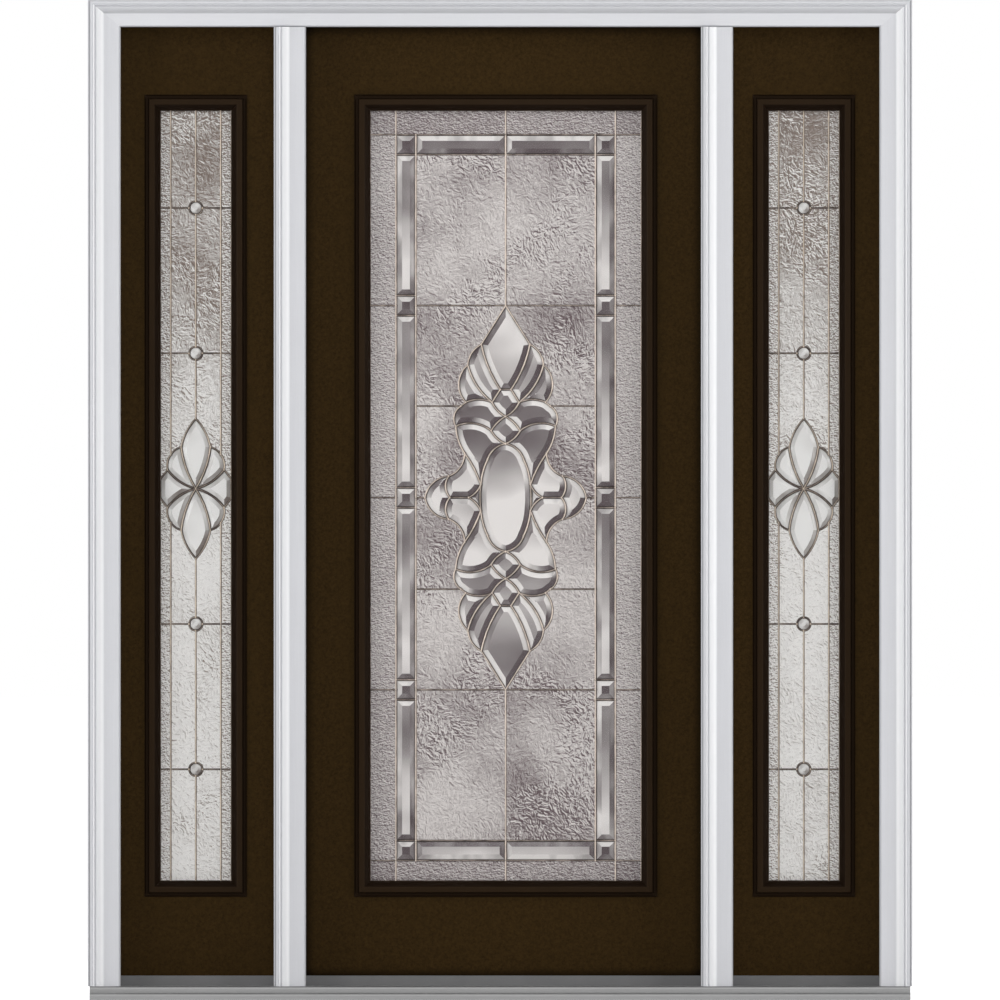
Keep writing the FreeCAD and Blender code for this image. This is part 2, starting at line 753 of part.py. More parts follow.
def panel_edge(glass_width):
    """Half the panel's width and height, and the same within its rim of came."""
    reach = size("glass_bite - spacer_width")
    half_width, half_height = size(glass_width) / 2 + reach, size("glass_height") / 2 + reach
    rim = size("came_rim - came_width / 2")
    return half_width, half_height, half_width - rim, half_height - rim


def make_door_panel(centre, face):
    """The door's panel: a cluster in a field, a border of bevels, and a plain margin."""
    strip = size("strip_width")
    outer_width = size("door_glass_width / 2 - margin_width")
    outer_height = size("glass_height / 2 - margin_height")
    half_width, half_height = outer_width - strip, outer_height - strip
    point, tip = half_width - size("cluster_side_gap"), size("cluster_height / 2")
    wide = point / DOOR_LINES["wing_top"][-1][0]
    tall = tip / DOOR_LINES["finial_side"][0][1]

    def lines(names, across=1, up=1):
        return [lead_line([(across * x * wide, up * z * tall) for x, z in DOOR_LINES[name]])
                for name in names]

    cluster = []
    for plain, swapped, flipped, repeat in DOOR_PIECES.values():
        for across, up in MIRRORS[repeat]:
            cluster.append(cell_of(lines(plain, across, up) + lines(swapped, -across, up)
                                   + lines(flipped, across, -up)))
    oval = lines(["oval_waist"]) + lines(["oval_waist"], -1)
    for across, up in MIRRORS["quarters"]:
        oval += lines(["oval_crown", "oval_side"], across, up)
    cluster.append(cell_of(oval))

    spring, rail = (DOOR_LINES["lobe_outside"][0][0] * wide, DOOR_LINES["lobe_outside"][0][1] * tall)
    field = []
    for across, up in MIRRORS["quarters"]:
        corners = [(0, tip), (half_width, tip), (half_width, half_height), (0, half_height), (0, tip)]
        field.append(cell_of(straight(corners, across, up)))
        upper = lines(["finial_side", "petal_top", "leaf_outside", "lobe_shoulder"], across, up)
        corners = [(spring, rail), (half_width, rail), (half_width, tip), (0, tip)]
        field.append(cell_of(upper + straight(corners, across, up)))
        lower = lines(["lobe_outside", "fan_outside", "drop_top", "wing_top"], across, up)
        corners = [(point, 0), (half_width, 0), (half_width, rail), (spring, rail)]
        field.append(cell_of(lower + straight(corners, across, up)))

    squares = [tip - strip / 2, tip + strip / 2]
    rows = [-outer_height, -half_height, -squares[1], -squares[0], -strip / 2,
            strip / 2, squares[0], squares[1], half_height, outer_height]
    border = grid([-outer_width, -half_width], rows) + grid([half_width, outer_width], rows)
    for rows in ([-outer_height, -half_height], [half_height, outer_height]):
        border += grid([-half_width, 0, half_width], rows)

    panel_width, panel_height, edge_width, edge_height = panel_edge("door_glass_width")
    rise = size("design_rise")
    bottom, top = -edge_height - rise, edge_height - rise
    rows = [bottom, -outer_height, -tip, 0, tip, outer_height, top]
    margin = grid([-edge_width, -outer_width], rows) + grid([outer_width, edge_width], rows)
    for rows in ([bottom, -outer_height], [outer_height, top]):
        margin += grid([-outer_width, 0, outer_width], rows)
    outer = rectangle(-panel_width, -panel_height - rise, panel_width, panel_height - rise)

    add_panel("door", {
        "came": came_net(outer, cluster + border + field + margin),
        "cluster_bevels": Part.Compound([bevelled_glass(cell) for cell in cluster]),
        "border_bevels": Part.Compound([bevelled_glass(cell) for cell in border]),
        "field_glass": Part.Compound([flat_glass(cell) for cell in field]),
        "border_glass": Part.Compound([flat_glass(cell) for cell in margin]),
    }, centre, "lite_centre + design_rise", face)


def jewel(cell):
    """A round jewel, faceted from its rim up to a small table."""
    rim = glass_outline(cell)
    glass, centre = size("bevel_glass"), cell.CenterOfMass
    back, front = Vector(0, glass / 2, 0), Vector(0, -glass / 2, 0)
    shoulder = back - Vector(0, size("bevel_edge"), 0)
    table = [centre + (corner - centre) * size("jewel_share") for corner in rim]
    return tiers([[corner + back for corner in rim], [corner + shoulder for corner in rim],
                  [corner + front for corner in table]])


def make_side_panel(label, centre, face):
    """A sidelight's panel: a cluster across the middle, and jewels on the rails over and under it."""
    panel_width, panel_height, edge, edge_height = panel_edge("side_glass_width")
    column = size("side_glass_width / 2 - side_margin")
    rise, radius = size("side_design_rise"), size("jewel_radius")
    rail, outer_rail = size("side_rail"), size("side_outer_rail")
    meet, fan = SIDE_LINES["lobe_outside"][0], SIDE_LINES["lobe_foot"][0]
    wide = column / meet[0]
    tall = size("side_cluster_height") / 2 / SIDE_LINES["petal_top"][0][1]
    meet_up, fan_across, fan_up = meet[1] * tall, fan[0] * wide, fan[1] * tall
    tip, fan_end = SIDE_LINES["petal_top"][0][1] * tall, fan[1] * tall / 2

    def lines(names, across=1, up=1):
        return [lead_line([(across * x * wide, up * z * tall) for x, z in SIDE_LINES[name]])
                for name in names]

    def notch(across, up, level, side):
        """A quarter of a jewel's round, above its rail or below it."""
        low = radius * math.sqrt(0.5)
        return [lead_line([(0, up * (level + side * radius)),
                           (across * low, up * (level + side * low)), (across * radius, up * level)])]

    petal, lobe = ["petal_top", "petal_foot"], ["petal_foot", "lobe_shoulder", "lobe_outside", "lobe_foot"]
    cluster = [cell_of(lines(petal, 1, up) + lines(petal, -1, up)) for up in (1, -1)]
    cluster += [cell_of(lines(lobe, across, up)) for across, up in MIRRORS["quarters"]]
    for across in (1, -1):
        corners = [(fan_across, fan_up), (edge, fan_end), (edge, -fan_end), (fan_across, -fan_up)]
        feet = lines(["lobe_foot"], across, 1) + lines(["lobe_foot"], across, -1)
        cluster.append(cell_of(feet + straight(corners, across)))

    field, margin = [], []
    for across, up in MIRRORS["quarters"]:
        end = edge_height - up * rise
        corners = [(radius, outer_rail), (column, outer_rail), (column, end), (0, end),
                   (0, outer_rail + radius)]
        field.append(cell_of(straight(corners, across, up) + notch(across, up, outer_rail, 1)))
        corners = [(radius, rail), (column, rail), (column, outer_rail), (radius, outer_rail)]
        inner = [(0, outer_rail - radius), (0, rail + radius)]
        field.append(cell_of(straight(corners, across, up) + straight(inner, across, up)
                             + notch(across, up, rail, 1) + notch(across, up, outer_rail, -1)))
        corners = [(column, meet_up), (column, rail), (radius, rail)]
        inner = [(0, rail - radius), (0, tip)]
        field.append(cell_of(straight(corners, across, up) + straight(inner, across, up)
                             + lines(["petal_top", "lobe_shoulder"], across, up)
                             + notch(across, up, rail, -1)))
        for low, high in ((outer_rail, end), (rail, outer_rail)):
            corners = [(column, low), (edge, low), (edge, high), (column, high), (column, low)]
            margin.append(cell_of(straight(corners, across, up)))
        corners = [(fan_across, fan_up), (edge, fan_end), (edge, rail), (column, rail), (column, meet_up)]
        margin.append(cell_of(straight(corners, across, up) + lines(["lobe_outside"], across, up)))

    outer = rectangle(-panel_width, -panel_height - rise, panel_width, panel_height - rise)
    rounds = [Part.Face(Part.Wire(Part.makeCircle(radius, Vector(0, 0, level), Vector(0, -1, 0))))
              for level in (-outer_rail, -rail, rail, outer_rail)]
    add_panel(label, {
        "came": came_net(outer, cluster + rounds + field + margin),
        "bevels": Part.Compound([bevelled_glass(cell) for cell in cluster]
                                + [jewel(cell) for cell in rounds]),
        "field_glass": Part.Compound([flat_glass(cell) for cell in field]),
        "border_glass": Part.Compound([flat_glass(cell) for cell in margin]),
    }, centre, "lite_centre + side_design_rise", face)


# Hinges

def make_hinges():
    """Three butt hinges, with their leaves let in flush.

    The frame's two knuckles are staked to the pin, and the door's knuckle turns on
    the stretch of it between them.
    """
    pin_across = f"({hinge_leg} + hinge_gap / 2)"
    pin_in = "(jamb_depth + knuckle_standoff)"
    knuckles = 3
    step = f"(hinge_height / {knuckles})"
    reach = "(leaf_width + knuckle_standoff - 1.4 * pin_radius)"
    frame_parts, door_parts, bores, pins = [], [], [], []
    for number, low in enumerate(hinge_bottoms()):
        front = "(jamb_depth - leaf_width)"
        frame_parts.append(add_box(f"frame_leaf_{number}", f"{hinge_leg} - leaf_thickness", front, low,
                                   "leaf_thickness", "leaf_width", "hinge_height"))
        door_parts.append(add_box(f"door_leaf_{number}", door_left, front, low,
                                  "leaf_thickness", "leaf_width", "hinge_height"))
        for knuckle in range(knuckles):
            on_frame = knuckle % 2 == 0
            parts = frame_parts if on_frame else door_parts
            across = f"{hinge_leg} - leaf_thickness" if on_frame else door_left
            base = f"({low} + {knuckle} * {step} + knuckle_gap / 2)"
            high = f"({step} - knuckle_gap)"
            name = f"knuckle_{number}_{knuckle}"
            parts.append(add_cylinder(name, pin_across, pin_in, base, "knuckle_radius", high))
            parts.append(add_box(f"{name}_strap", across, front, base, "leaf_thickness", reach, high))
        middle, shown = f"({low} + {step} - knuckle_gap / 2)", f"({step} + knuckle_gap)"
        bores.append(add_cylinder(f"bore_{number}", pin_across, pin_in, middle,
                                  "pin_radius + pin_fit", shown))
        shank = add_cylinder(f"shank_{number}", pin_across, pin_in, middle, "pin_radius", shown)
        head = add_cylinder(f"pin_head_{number}", pin_across, pin_in,
                            f"{low} + hinge_height - knuckle_gap / 2", "pin_head_radius", "pin_head_height")
        pins += [shank, head]
    add_union("hinge_frame_leaves", frame_parts)
    add_cut("hinge_door_leaves", add_union("door_leaf_blanks", door_parts), add_union("hinge_bores", bores))
    add_union("hinge_pins", pins)


# Seals

def make_seals():
    """The weatherstrip on the stops round the door, and the sweep under it."""
    left, right = f"({door_bay_start} - cover_lap)", f"({door_bay_end} + cover_lap)"
    edge = "(stop_width - seal_width) / 2"
    outer_left, outer_right = f"({left} - stop_width + {edge})", f"({right} + stop_width - {edge})"
    inner_left, inner_right = f"({left} - {edge})", f"({right} + {edge})"
    outer_top, inner_top = f"({head_leg} - {edge})", f"({head_stop} + {edge})"
    outline = [(outer_left, "cap_saddle"), (inner_left, "cap_saddle"), (inner_left, inner_top),
               (inner_right, inner_top), (inner_right, "cap_saddle"), (outer_right, "cap_saddle"),
               (outer_right, outer_top), (outer_left, outer_top)]
    body = new_body("weatherstrip")
    pad(body, "XZ_Plane", [outline], stop_depth, "seal_thickness")
    add_box("door_sweep", f"{door_left} + sweep_inset", f"{door_face} + (slab_thickness - sweep_depth) / 2",
            "cap_top - sweep_rise", f"{door_right} - {door_left} - 2 * sweep_inset", "sweep_depth",
            "sweep_rise")


make_side_jamb("left_jamb", f"({left_bay_start} - cover_lap)", "-")
make_side_jamb("right_jamb", f"({right_bay_end} + cover_lap)", "+")
left_mullion = make_mullion("left_mullion", left_bay_end, door_bay_start)
pocket(left_mullion, "YZ_Plane", mortises(), f"{hinge_leg} - leaf_thickness", "leaf_thickness", "mortises")
make_mullion("right_mullion", door_bay_end, right_bay_start)
make_head_jamb()
make_casing("left_casing", left_edge, "+")
make_casing("right_casing", right_edge, "-")
make_head_casing()
make_mullion_cover("left_mullion_cover", left_bay_end)
make_mullion_cover("right_mullion_cover", door_bay_end)
make_sill()
make_caps()

door_lite = f"(({door_left} + {door_right}) / 2 + door_lite_shift)"
make_door_slab(door_lite)
make_lite_frame("door_outer_lite_frame", door_lite, "door_glass_width", door_face, "-")
make_lite_frame("door_inner_lite_frame", door_lite, "door_glass_width", "jamb_depth", "+")
make_glass_unit("door", door_lite, "door_glass_width", door_face)
make_door_panel(door_lite, door_face)

for side, bay_start, bay_end in (("left", left_bay_start, left_bay_end),
                                 ("right", right_bay_start, right_bay_end)):
    side_lite = f"(({bay_start} + {bay_end}) / 2 + side_lite_shift)"
    make_fixed_slab(f"{side}_sidelight_slab", bay_start, bay_end, side_lite)
    slab_back = f"({stop_depth} + slab_thickness)"
    make_lite_frame(f"{side}_outer_lite_frame", side_lite, "side_glass_width", stop_depth, "-")
    make_lite_frame(f"{side}_inner_lite_frame", side_lite, "side_glass_width", slab_back, "+")
    make_glass_unit(side, side_lite, "side_glass_width", stop_depth)
    make_side_panel(side, side_lite, stop_depth)

make_hinges()
make_seals()
doc.recompute()

# The pieces that are written out; everything else in the document only builds them.
NODES = [
    "left_jamb", "right_jamb", "head_jamb", "left_mullion", "right_mullion",
    "left_casing", "right_casing", "head_casing", "left_mullion_cover", "right_mullion_cover",
    "sill", "sill_core", "threshold_cap", "left_sidelight_cap", "right_sidelight_cap",
    "weatherstrip", "hinge_frame_leaves", "hinge_pins",
    "door_slab", "door_outer_lite_frame", "door_inner_lite_frame", "door_panes", "door_spacer",
    "door_came", "door_field_glass", "door_border_glass", "door_border_bevels",
    "door_cluster_bevels", "door_sweep", "hinge_door_leaves",
]
for side in ("left", "right"):
    NODES += [f"{side}_sidelight_slab", f"{side}_outer_lite_frame", f"{side}_inner_lite_frame",
              f"{side}_panes", f"{side}_spacer", f"{side}_came", f"{side}_field_glass",
              f"{side}_border_glass", f"{side}_bevels"]

for item in doc.Objects:
    if "Invalid" in item.State or "Error" in item.State:
        raise RuntimeError(f"{item.Label} failed: {item.State}")
pieces = {item.Label: item for item in doc.Objects}
for node in NODES:
    shape = pieces[node].Shape
    if shape.isNull() or not shape.isValid():
        raise RuntimeError(f"{node} has no valid shape")

os.makedirs("parts", exist_ok=True)
for node in NODES:
    pieces[node].Shape.exportStep(f"parts/{node}.step")
print(len(NODES), "pieces written")
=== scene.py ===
"""Looks for a door with sidelights: mouldings, leaded glass, paint, metal and a plain studio."""

import math
from functools import cache, partialmethod

import bpy
import bmesh
import numpy as np
from bpy.props import FloatProperty, FloatVectorProperty, IntProperty, PointerProperty
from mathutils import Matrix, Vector
from mathutils.geometry import delaunay_2d_cdt


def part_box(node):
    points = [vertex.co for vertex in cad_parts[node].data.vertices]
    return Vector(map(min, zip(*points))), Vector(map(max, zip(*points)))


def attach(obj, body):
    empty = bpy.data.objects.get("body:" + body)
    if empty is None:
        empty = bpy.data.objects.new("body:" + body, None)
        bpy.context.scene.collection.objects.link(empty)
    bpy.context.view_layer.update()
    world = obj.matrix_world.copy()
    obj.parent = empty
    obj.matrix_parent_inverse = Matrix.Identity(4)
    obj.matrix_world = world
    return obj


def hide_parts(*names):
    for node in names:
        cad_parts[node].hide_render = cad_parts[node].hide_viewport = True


bl_info = {
    "name": "Door with Sidelights",
    "version": (1, 0, 0),
    "blender": (4, 5, 0),
    "location": "3D Viewport > Sidebar > Entrance",
    "description": "Dresses an entrance door and its two sidelights",
    "category": "Object",
}

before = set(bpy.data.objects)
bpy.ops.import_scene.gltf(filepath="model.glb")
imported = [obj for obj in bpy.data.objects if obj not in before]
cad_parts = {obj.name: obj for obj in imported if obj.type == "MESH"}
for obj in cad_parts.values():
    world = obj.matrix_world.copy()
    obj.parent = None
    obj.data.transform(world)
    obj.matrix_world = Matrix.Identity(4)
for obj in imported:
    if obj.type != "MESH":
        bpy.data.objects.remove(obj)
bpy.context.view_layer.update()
MM = 0.001
FRAME_BODY, DOOR_BODY = "frame", "door"


# Sizes and colours

def length(label, description, millimetres):
    return FloatProperty(name=label, description=description, default=millimetres * MM, unit="LENGTH")


def amount(label, description, default, unit="NONE"):
    return FloatProperty(name=label, description=description, default=default, unit=unit)


def colour(label, description, *tone):
    return FloatVectorProperty(name=label, description=description, subtype="COLOR", size=3, default=tone)


class MouldingSizes(bpy.types.PropertyGroup):
    """The mouldings round the unit and round the glass."""

    lite_surround: length("Lite surround", "How wide the moulding round the glass shows", 33.5)
    bead_steps: IntProperty(name="Bead steps", description="Faces of a moulding's rounded bead", default=6)


class LeadedGlassSizes(bpy.types.PropertyGroup):
    """The leaded panels, in the same sizes as the solids behind them."""

    came_width: length("Came width", "Width of the lead came over the glass", 5.5)
    came_depth: length("Came depth", "Depth of the came, front to back", 7)
    solder_radius: length("Solder radius", "Radius of the solder bead at a joint", 3.6)
    bevel_width: length("Bevel width", "Width of the ground slope round a bevelled piece", 11)
    bevel_drop: length("Bevel drop", "How far the slope falls from the table to its edge", 3.4)
    strip_width: length("Border width", "Width of the border of bevelled strips", 42.3)
    margin_width: length("Side margin", "From the sight edge to the border, at the sides", 54)
    margin_height: length("End margin", "From the sight edge to the border, at the ends", 46.5)
    side_column: length("Sidelight column", "From a sidelight's centre to its long lead lines", 52.9)
    side_rail: length("Inner rail", "From a sidelight's centre to its first jewel", 286)
    side_outer_rail: length("Outer rail", "From a sidelight's centre to its second jewel", 593)
    jewel_radius: length("Jewel radius", "Radius of the lead round a jewel", 14.3)


class FinishColours(bpy.types.PropertyGroup):
    """The colours of paint, metal and glass."""

    white_paint: colour("White paint", "Casings, jambs and mullions", 0.69, 0.695, 0.725)
    door_paint: colour("Door paint", "The slabs' dark brown", 0.026, 0.0145, 0.0042)
    surround_brown: colour("Surround", "The moulded surrounds of the glass", 0.0172, 0.0098, 0.0050)
    # The colour of the surround's painted shade
    groove_brown: colour("Surround groove", "The surround's shaded groove and slope", 0.0055, 0.0022, 0.0008)
    sill_grey: colour("Sill", "The sill's mill-finish tread", 0.26, 0.26, 0.26)
    cap_grey: colour("Threshold cap", "The caps under the slabs", 0.14, 0.14, 0.142)
    # The came's tones where no painted shade lies on it, and the brown of its painted shade
    came_gold: colour("Came", "The came's worn upper tone", 0.59, 0.50, 0.43)
    side_came_gold: colour("Sidelight came", "The sidelights' browner came", 0.5, 0.42, 0.34)
    came_shade_brown: colour("Came shade", "The came's darker tone", 0.045, 0.03, 0.025)
    # The light and dark tones of the cast glasses: the painted light and shade of their ripples
    glass_light: colour("Glass light tone", "Bright ripples of the door's glass", 0.74, 0.695, 0.675)
    glass_dark: colour("Glass dark tone", "Dark ripples of the door's glass", 0.105, 0.066, 0.073)
    side_glass_light: colour("Sidelight light tone", "Bright ripples of the sidelights", 0.97, 0.95, 0.925)
    side_glass_dark: colour("Sidelight dark tone", "Dark ripples of the sidelights", 0.21, 0.157, 0.128)


class StudioSizes(bpy.types.PropertyGroup):
    """The camera, the lamps and the backdrop."""

    lens: amount("Lens", "Focal length in millimetres, long for a flat view", 1000)
    sight_width: amount("Sight width", "What the camera takes in at the wall's face", 2.11, "LENGTH")
    side_lamp: amount("Side lamps", "Power of each side lamp", 104, "POWER")
    front_lamp: amount("Front lamp", "Power of the lamp over the camera", 48, "POWER")
    room_light: amount("Room light", "Strength of the even light all round", 0.37)
    floor_glow: amount("Floor glow", "What the camera sees of the floor beyond its lit tone", 0.72)
    floor_reach: amount("Floor reach", "From the middle of the floor to its edge", 90, "LENGTH")


# Meshes

def placed(name, data):
    """A new object at the origin of the scene."""
    piece = bpy.data.objects.new(name, data)
    bpy.context.scene.collection.objects.link(piece)
    return piece


def mesh_piece(name, vertices, faces, material, smooth_angle=None, **marks):
    """A mesh object at the origin, its normals outward, and smooth under an angle.

    Each mark is a value for every vertex, which the material reads by its name.
    """
    mesh = bpy.data.meshes.new(name)
    mesh.from_pydata([tuple(v) for v in vertices], [], faces)
    for label, values in marks.items():
        mesh.attributes.new(label, "FLOAT", "POINT").data.foreach_set("value", values)
    work = bmesh.new()
    work.from_mesh(mesh)
    bmesh.ops.remove_doubles(work, verts=work.verts, dist=1e-6)
    bmesh.ops.recalc_face_normals(work, faces=work.faces)
    work.to_mesh(mesh)
    work.free()
    if smooth_angle is not None:
        mesh.shade_smooth()
        mesh.set_sharp_from_angle(angle=math.radians(smooth_angle))
    mesh.materials.append(material)
    return placed(name, mesh)


def settle(piece, body, slot, *nodes):
    """The piece rides on its body and stands for its nodes, which it hides; its slot is not used."""
    if nodes:
        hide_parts(*nodes)
    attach(piece, body)


def dress(names, material):
    """Gives CAD nodes a material in place of their plain one."""
    for node in (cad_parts[name] for name in names.split()):
        for slot in node.material_slots:
            slot.material = material
        if not node.material_slots:
            node.data.materials.append(material)


def band(low, high, count):
    """Faces between two closed rings of points, each ring given by its first point's number."""
    return [(low + k, low + (k + 1) % count, high + (k + 1) % count, high + k) for k in range(count)]


def swept(profile, rings, closed=False):
    """Faces between stations: ring(*point) gives the profile's points at each. An open run has ends."""
    vertices = [ring(*point) for ring in rings for point in profile]
    count, stations, faces = len(profile), len(rings), []
    for station in range(stations if closed else stations - 1):
        faces += band(station * count, (station + 1) % stations * count, count)
    if not closed:
        faces += [tuple(range(count)), tuple(range(len(vertices) - count, len(vertices)))]
    return vertices, faces


def rounded(points, radius, steps):
    """An open outline with each marked corner rounded: points are (x, y) or (x, y, share)."""
    result = []
    for index, point in enumerate(points):
        if len(point) == 2 or index in (0, len(points) - 1):
            result.append(point[:2])
            continue
        corner = Vector(point[:2])
        before, after = (Vector(points[k][:2]) - corner for k in (index - 1, index + 1))
        reach = min(radius * point[2], before.length / 2, after.length / 2)
        start, end = corner + before.normalized() * reach, corner + after.normalized() * reach
        for t in (step / steps for step in range(steps + 1)):
            result.append(tuple(start * (1 - t) ** 2 + corner * 2 * t * (1 - t) + end * t * t))
    return result


# Node trees

class Sockets:
    """A node's inputs or outputs: read as wires, and set to a wire or a plain value."""

    def __init__(self, sockets):
        self.sockets = sockets

    def __getitem__(self, key):
        return Wire(self.sockets[key])

    def __setitem__(self, key, value):
        socket = self.sockets[key]
        if isinstance(value, Wire):
            socket.id_data.links.new(value.socket, socket)
        else:
            socket.default_value = value

    def source(self, key):
        """What is wired into an input."""
        return Wire(self.sockets[key].links[0].from_socket)


class Wire:
    """An output to reckon with: each sum, product or limit of it is a node of its tree."""

    def __init__(self, socket):
        self.socket, self.tree = socket, socket.id_data

    def maths(self, operation, *values):
        return put(self.tree, "ShaderNodeMath", dict(enumerate((self, *values))), operation=operation)[0]

    def clamped(self):
        """The same value, kept from 0 to 1."""
        self.socket.node.use_clamp = True
        return self

    __add__, __sub__ = partialmethod(maths, "ADD"), partialmethod(maths, "SUBTRACT")
    __mul__, __truediv__ = partialmethod(maths, "MULTIPLY"), partialmethod(maths, "DIVIDE")
    __pow__, __abs__ = partialmethod(maths, "POWER"), partialmethod(maths, "ABSOLUTE")
    at_least, at_most = partialmethod(maths, "MAXIMUM"), partialmethod(maths, "MINIMUM")
    line = partialmethod(maths, "MULTIPLY_ADD")


def put(tree, kind, inputs=None, **settings):
    """A node with its settings, and its inputs set or wired by name or number: its outputs."""
    node = tree.nodes.new(kind)
    for key, value in settings.items():
        setattr(node, key, value)
    given = Sockets(node.inputs)
    for key, value in (inputs or {}).items():
        given[key] = value
    return Sockets(node.outputs)


def new_tree(kind, name, inputs, outputs):
    """A node group and its two ends. Its sockets have a kind each, or a default where they are plain."""
    tree = bpy.data.node_groups.new(name, kind)
    for way, sockets in (("INPUT", inputs), ("OUTPUT", outputs)):
        for label, value in sockets.items():
            plain = isinstance(value, float)
            kind_name = "NodeSocket" + ("Float" if plain else value)
            socket = tree.interface.new_socket(label, in_out=way, socket_type=kind_name)
            if plain:
                socket.default_value = value
    given, out = (tree.nodes.new(f"NodeGroup{end}") for end in ("Input", "Output"))
    return tree, Sockets(given.outputs), Sockets(out.inputs)


def vector(operation, first, second):
    return put(first.tree, "ShaderNodeVectorMath", {0: first, 1: second}, operation=operation)[0]


def axes(wire):
    return put(wire.tree, "ShaderNodeSeparateXYZ", {0: wire})


def coordinates(tree, stretch=None):
    """Object coordinates, times a stretch for each axis."""
    spot = put(tree, "ShaderNodeTexCoord")["Object"]
    return vector("MULTIPLY", spot, stretch) if stretch else spot


def noise(spot, scale=1.0, detail=2.0, rough=0.5, bend=0.0, output=0):
    return put(spot.tree, "ShaderNodeTexNoise", {
        "Vector": spot, "Scale": scale, "Detail": detail, "Roughness": rough, "Distortion": bend})[output]


def mark(tree, label):
    """A value that each vertex of the mesh carries."""
    return put(tree, "ShaderNodeAttribute", attribute_name=label)["Fac"]


def blend(factor, first, second):
    """A colour between two, each a wire or a plain colour."""
    first, second = (tone if isinstance(tone, Wire) else (*tone, 1) for tone in (first, second))
    return put(factor.tree, "ShaderNodeMix", {0: factor, 6: first, 7: second}, data_type="RGBA")[2]


def shaded(tone, share):
    return tuple(min(1.0, channel * share) for channel in tone)


def tinted(tone, mask, low, high):
    """A colour made darker and lighter by a mask."""
    return blend(mask, shaded(tone, low), shaded(tone, high))


def bump(height, strength, distance):
    inputs = {"Height": height, "Strength": strength, "Distance": distance}
    return put(height.tree, "ShaderNodeBump", inputs)[0]


# Effects that more than one material uses

@cache
def mottle_group():
    """Soft clouds of tone with a fine grain over them, for paint and metal."""
    tree, given, out = new_tree(
        "ShaderNodeTree", "Mottled Finish", {"Cloud Scale": 6.0, "Grain Scale": 700.0},
        {"Cloud": "Float", "Grain": "Float"})
    out["Cloud"] = noise(coordinates(tree), given["Cloud Scale"], 4.0, 0.6)
    out["Grain"] = noise(coordinates(tree), given["Grain Scale"], 2.0, 0.7)
    return tree


@cache
def facet_group():
    """Painted light and shade by the way a ground facet faces, seen in the piece's own axes.

    Facets that lean up to the right or down to the left take a painted flash of light, those that lean up
    to the left or down to the right take painted shade, and the rest lie between, under painted glints.
    """
    tree, given, out = new_tree(
        "ShaderNodeTree", "Facet Painted Light",
        {"Flash": 0.6, "Lift": 0.34, "Side": 0.15, "Turn": 1.0, "Painted Glints": 1.2},
        {"Tone": "Float", "Lean": "Float"})
    place = put(tree, "ShaderNodeTexCoord")
    normal = axes(place["Normal"])
    square = (normal[0] ** 2.0 + normal[2] ** 2.0).at_least(0.0001)
    lean = square.maths("SQRT")
    flash = normal[0] * normal[2] / square * 2.0 * given["Flash"]
    lift = normal[2] / lean * given["Lift"] * given["Turn"]
    side = normal[0] / lean * given["Side"]
    # Painted glints: streaked noise that lightens and darkens the facets
    painted_glints = (noise(vector("MULTIPLY", place["Object"], (1.0, 1.0, 0.5)), 24.0) - 0.5) * given["Painted Glints"]
    out["Tone"] = (lift - side + (flash + 0.63) + painted_glints).clamped()
    out["Lean"] = lean.line(7.0, -0.3).clamped()
    return tree


@cache
def ripple_group():
    """Relief of cast obscure glass, painted in as light and shade as if lit from one side.

    Each patch of the glass turns its strokes its own way; folds show as a painted highlight in light zones
    and painted shade in dark ones, and some zones are bolder than the rest.
    """
    tree, given, out = new_tree(
        "ShaderNodeTree", "Cast Relief Painted Shading", {
            "Scale": 110.0, "Stretch": 0.4, "Turn": 1.0, "Relief": 5.0, "Folds": 0.3, "Zones": 0.1,
            "Bold Scale": 5.0, "Bold": 1.5, "Seed": 0.0}, {"Tone": "Float", "Height": "Float"})
    spot = vector("ADD", coordinates(tree), given["Seed"])
    wander = vector("MULTIPLY", noise(spot, 60.0, output="Color"), (0.03, 0.03, 0.03))
    patch = put(tree, "ShaderNodeTexVoronoi", {"Vector": vector("ADD", spot, wander), "Scale": 38.0})["Color"]
    angle = axes(patch)[0] * given["Turn"] * math.pi
    squash = put(tree, "ShaderNodeCombineXYZ", {0: given["Stretch"], 1: 1.0, 2: 1.0})[0]

    def strokes(offset):
        turned = put(tree, "ShaderNodeVectorRotate", {"Vector": vector("ADD", spot, offset), "Angle": angle},
                     rotation_type="Y_AXIS")[0]
        return noise(vector("MULTIPLY", turned, squash), given["Scale"], 2.0, 0.5, 0.8)

    height = strokes((0.0, 0.0, 0.0))
    slope = height - strokes((0.0011, 0.0, 0.0015))
    folds = abs(noise(spot, 55.0, 1.0, 0.5, 1.4) - 0.5).line(-20.0, 1.0).clamped()
    zone = noise(spot, 6.5).line(8.0, -3.8).at_least(-1.0).at_most(1.0)
    bold = noise(spot, given["Bold Scale"], 3.0, 0.6).line(8.0, -4.0).clamped()
    # Painted shading of the relief, from the strokes' slope between two nearby samples, then painted
    # highlight and shade on the folds by zone
    tone = slope * (given["Relief"] * bold.line(given["Bold"], 1.0)) + 0.5
    out["Tone"] = tone + folds * zone * given["Folds"] + zone * given["Zones"]
    out["Height"] = height
    return tree


def use(tree, group, values):
    """A shared group in a material's tree, with its own values."""
    return put(tree, "ShaderNodeGroup", values, node_tree=group)


# Materials

def shader_of(material):
    return Sockets(material.node_tree.nodes["Principled BSDF"].inputs)


def new_material(name, **plain):
    """A Principled material with its plain sockets set: the material, its tree and its shader."""
    material = bpy.data.materials.new(name)
    material.use_nodes = True
    shader = shader_of(material)
    for key, value in plain.items():
        shader[key.replace("_", " ")] = value
    return material, material.node_tree, shader


# Each paint: the scales of its clouds and of its grain, its spread of tone, roughness and relief
PAINTS = {
    "White Paint": (4.0, 520.0, 0.035, 0.42, 0.0002),
    "Slab Paint": (150.0, 330.0, 0.5, 0.48, 0.0004),
    "Surround Brown": (14.0, 420.0, 0.18, 0.45, 0.0002),
    "Cap Composite": (12.0, 500.0, 0.12, 0.55, 0.0003),
    "Seal Rubber": (20.0, 600.0, 0.25, 0.7, 0.0004),
}


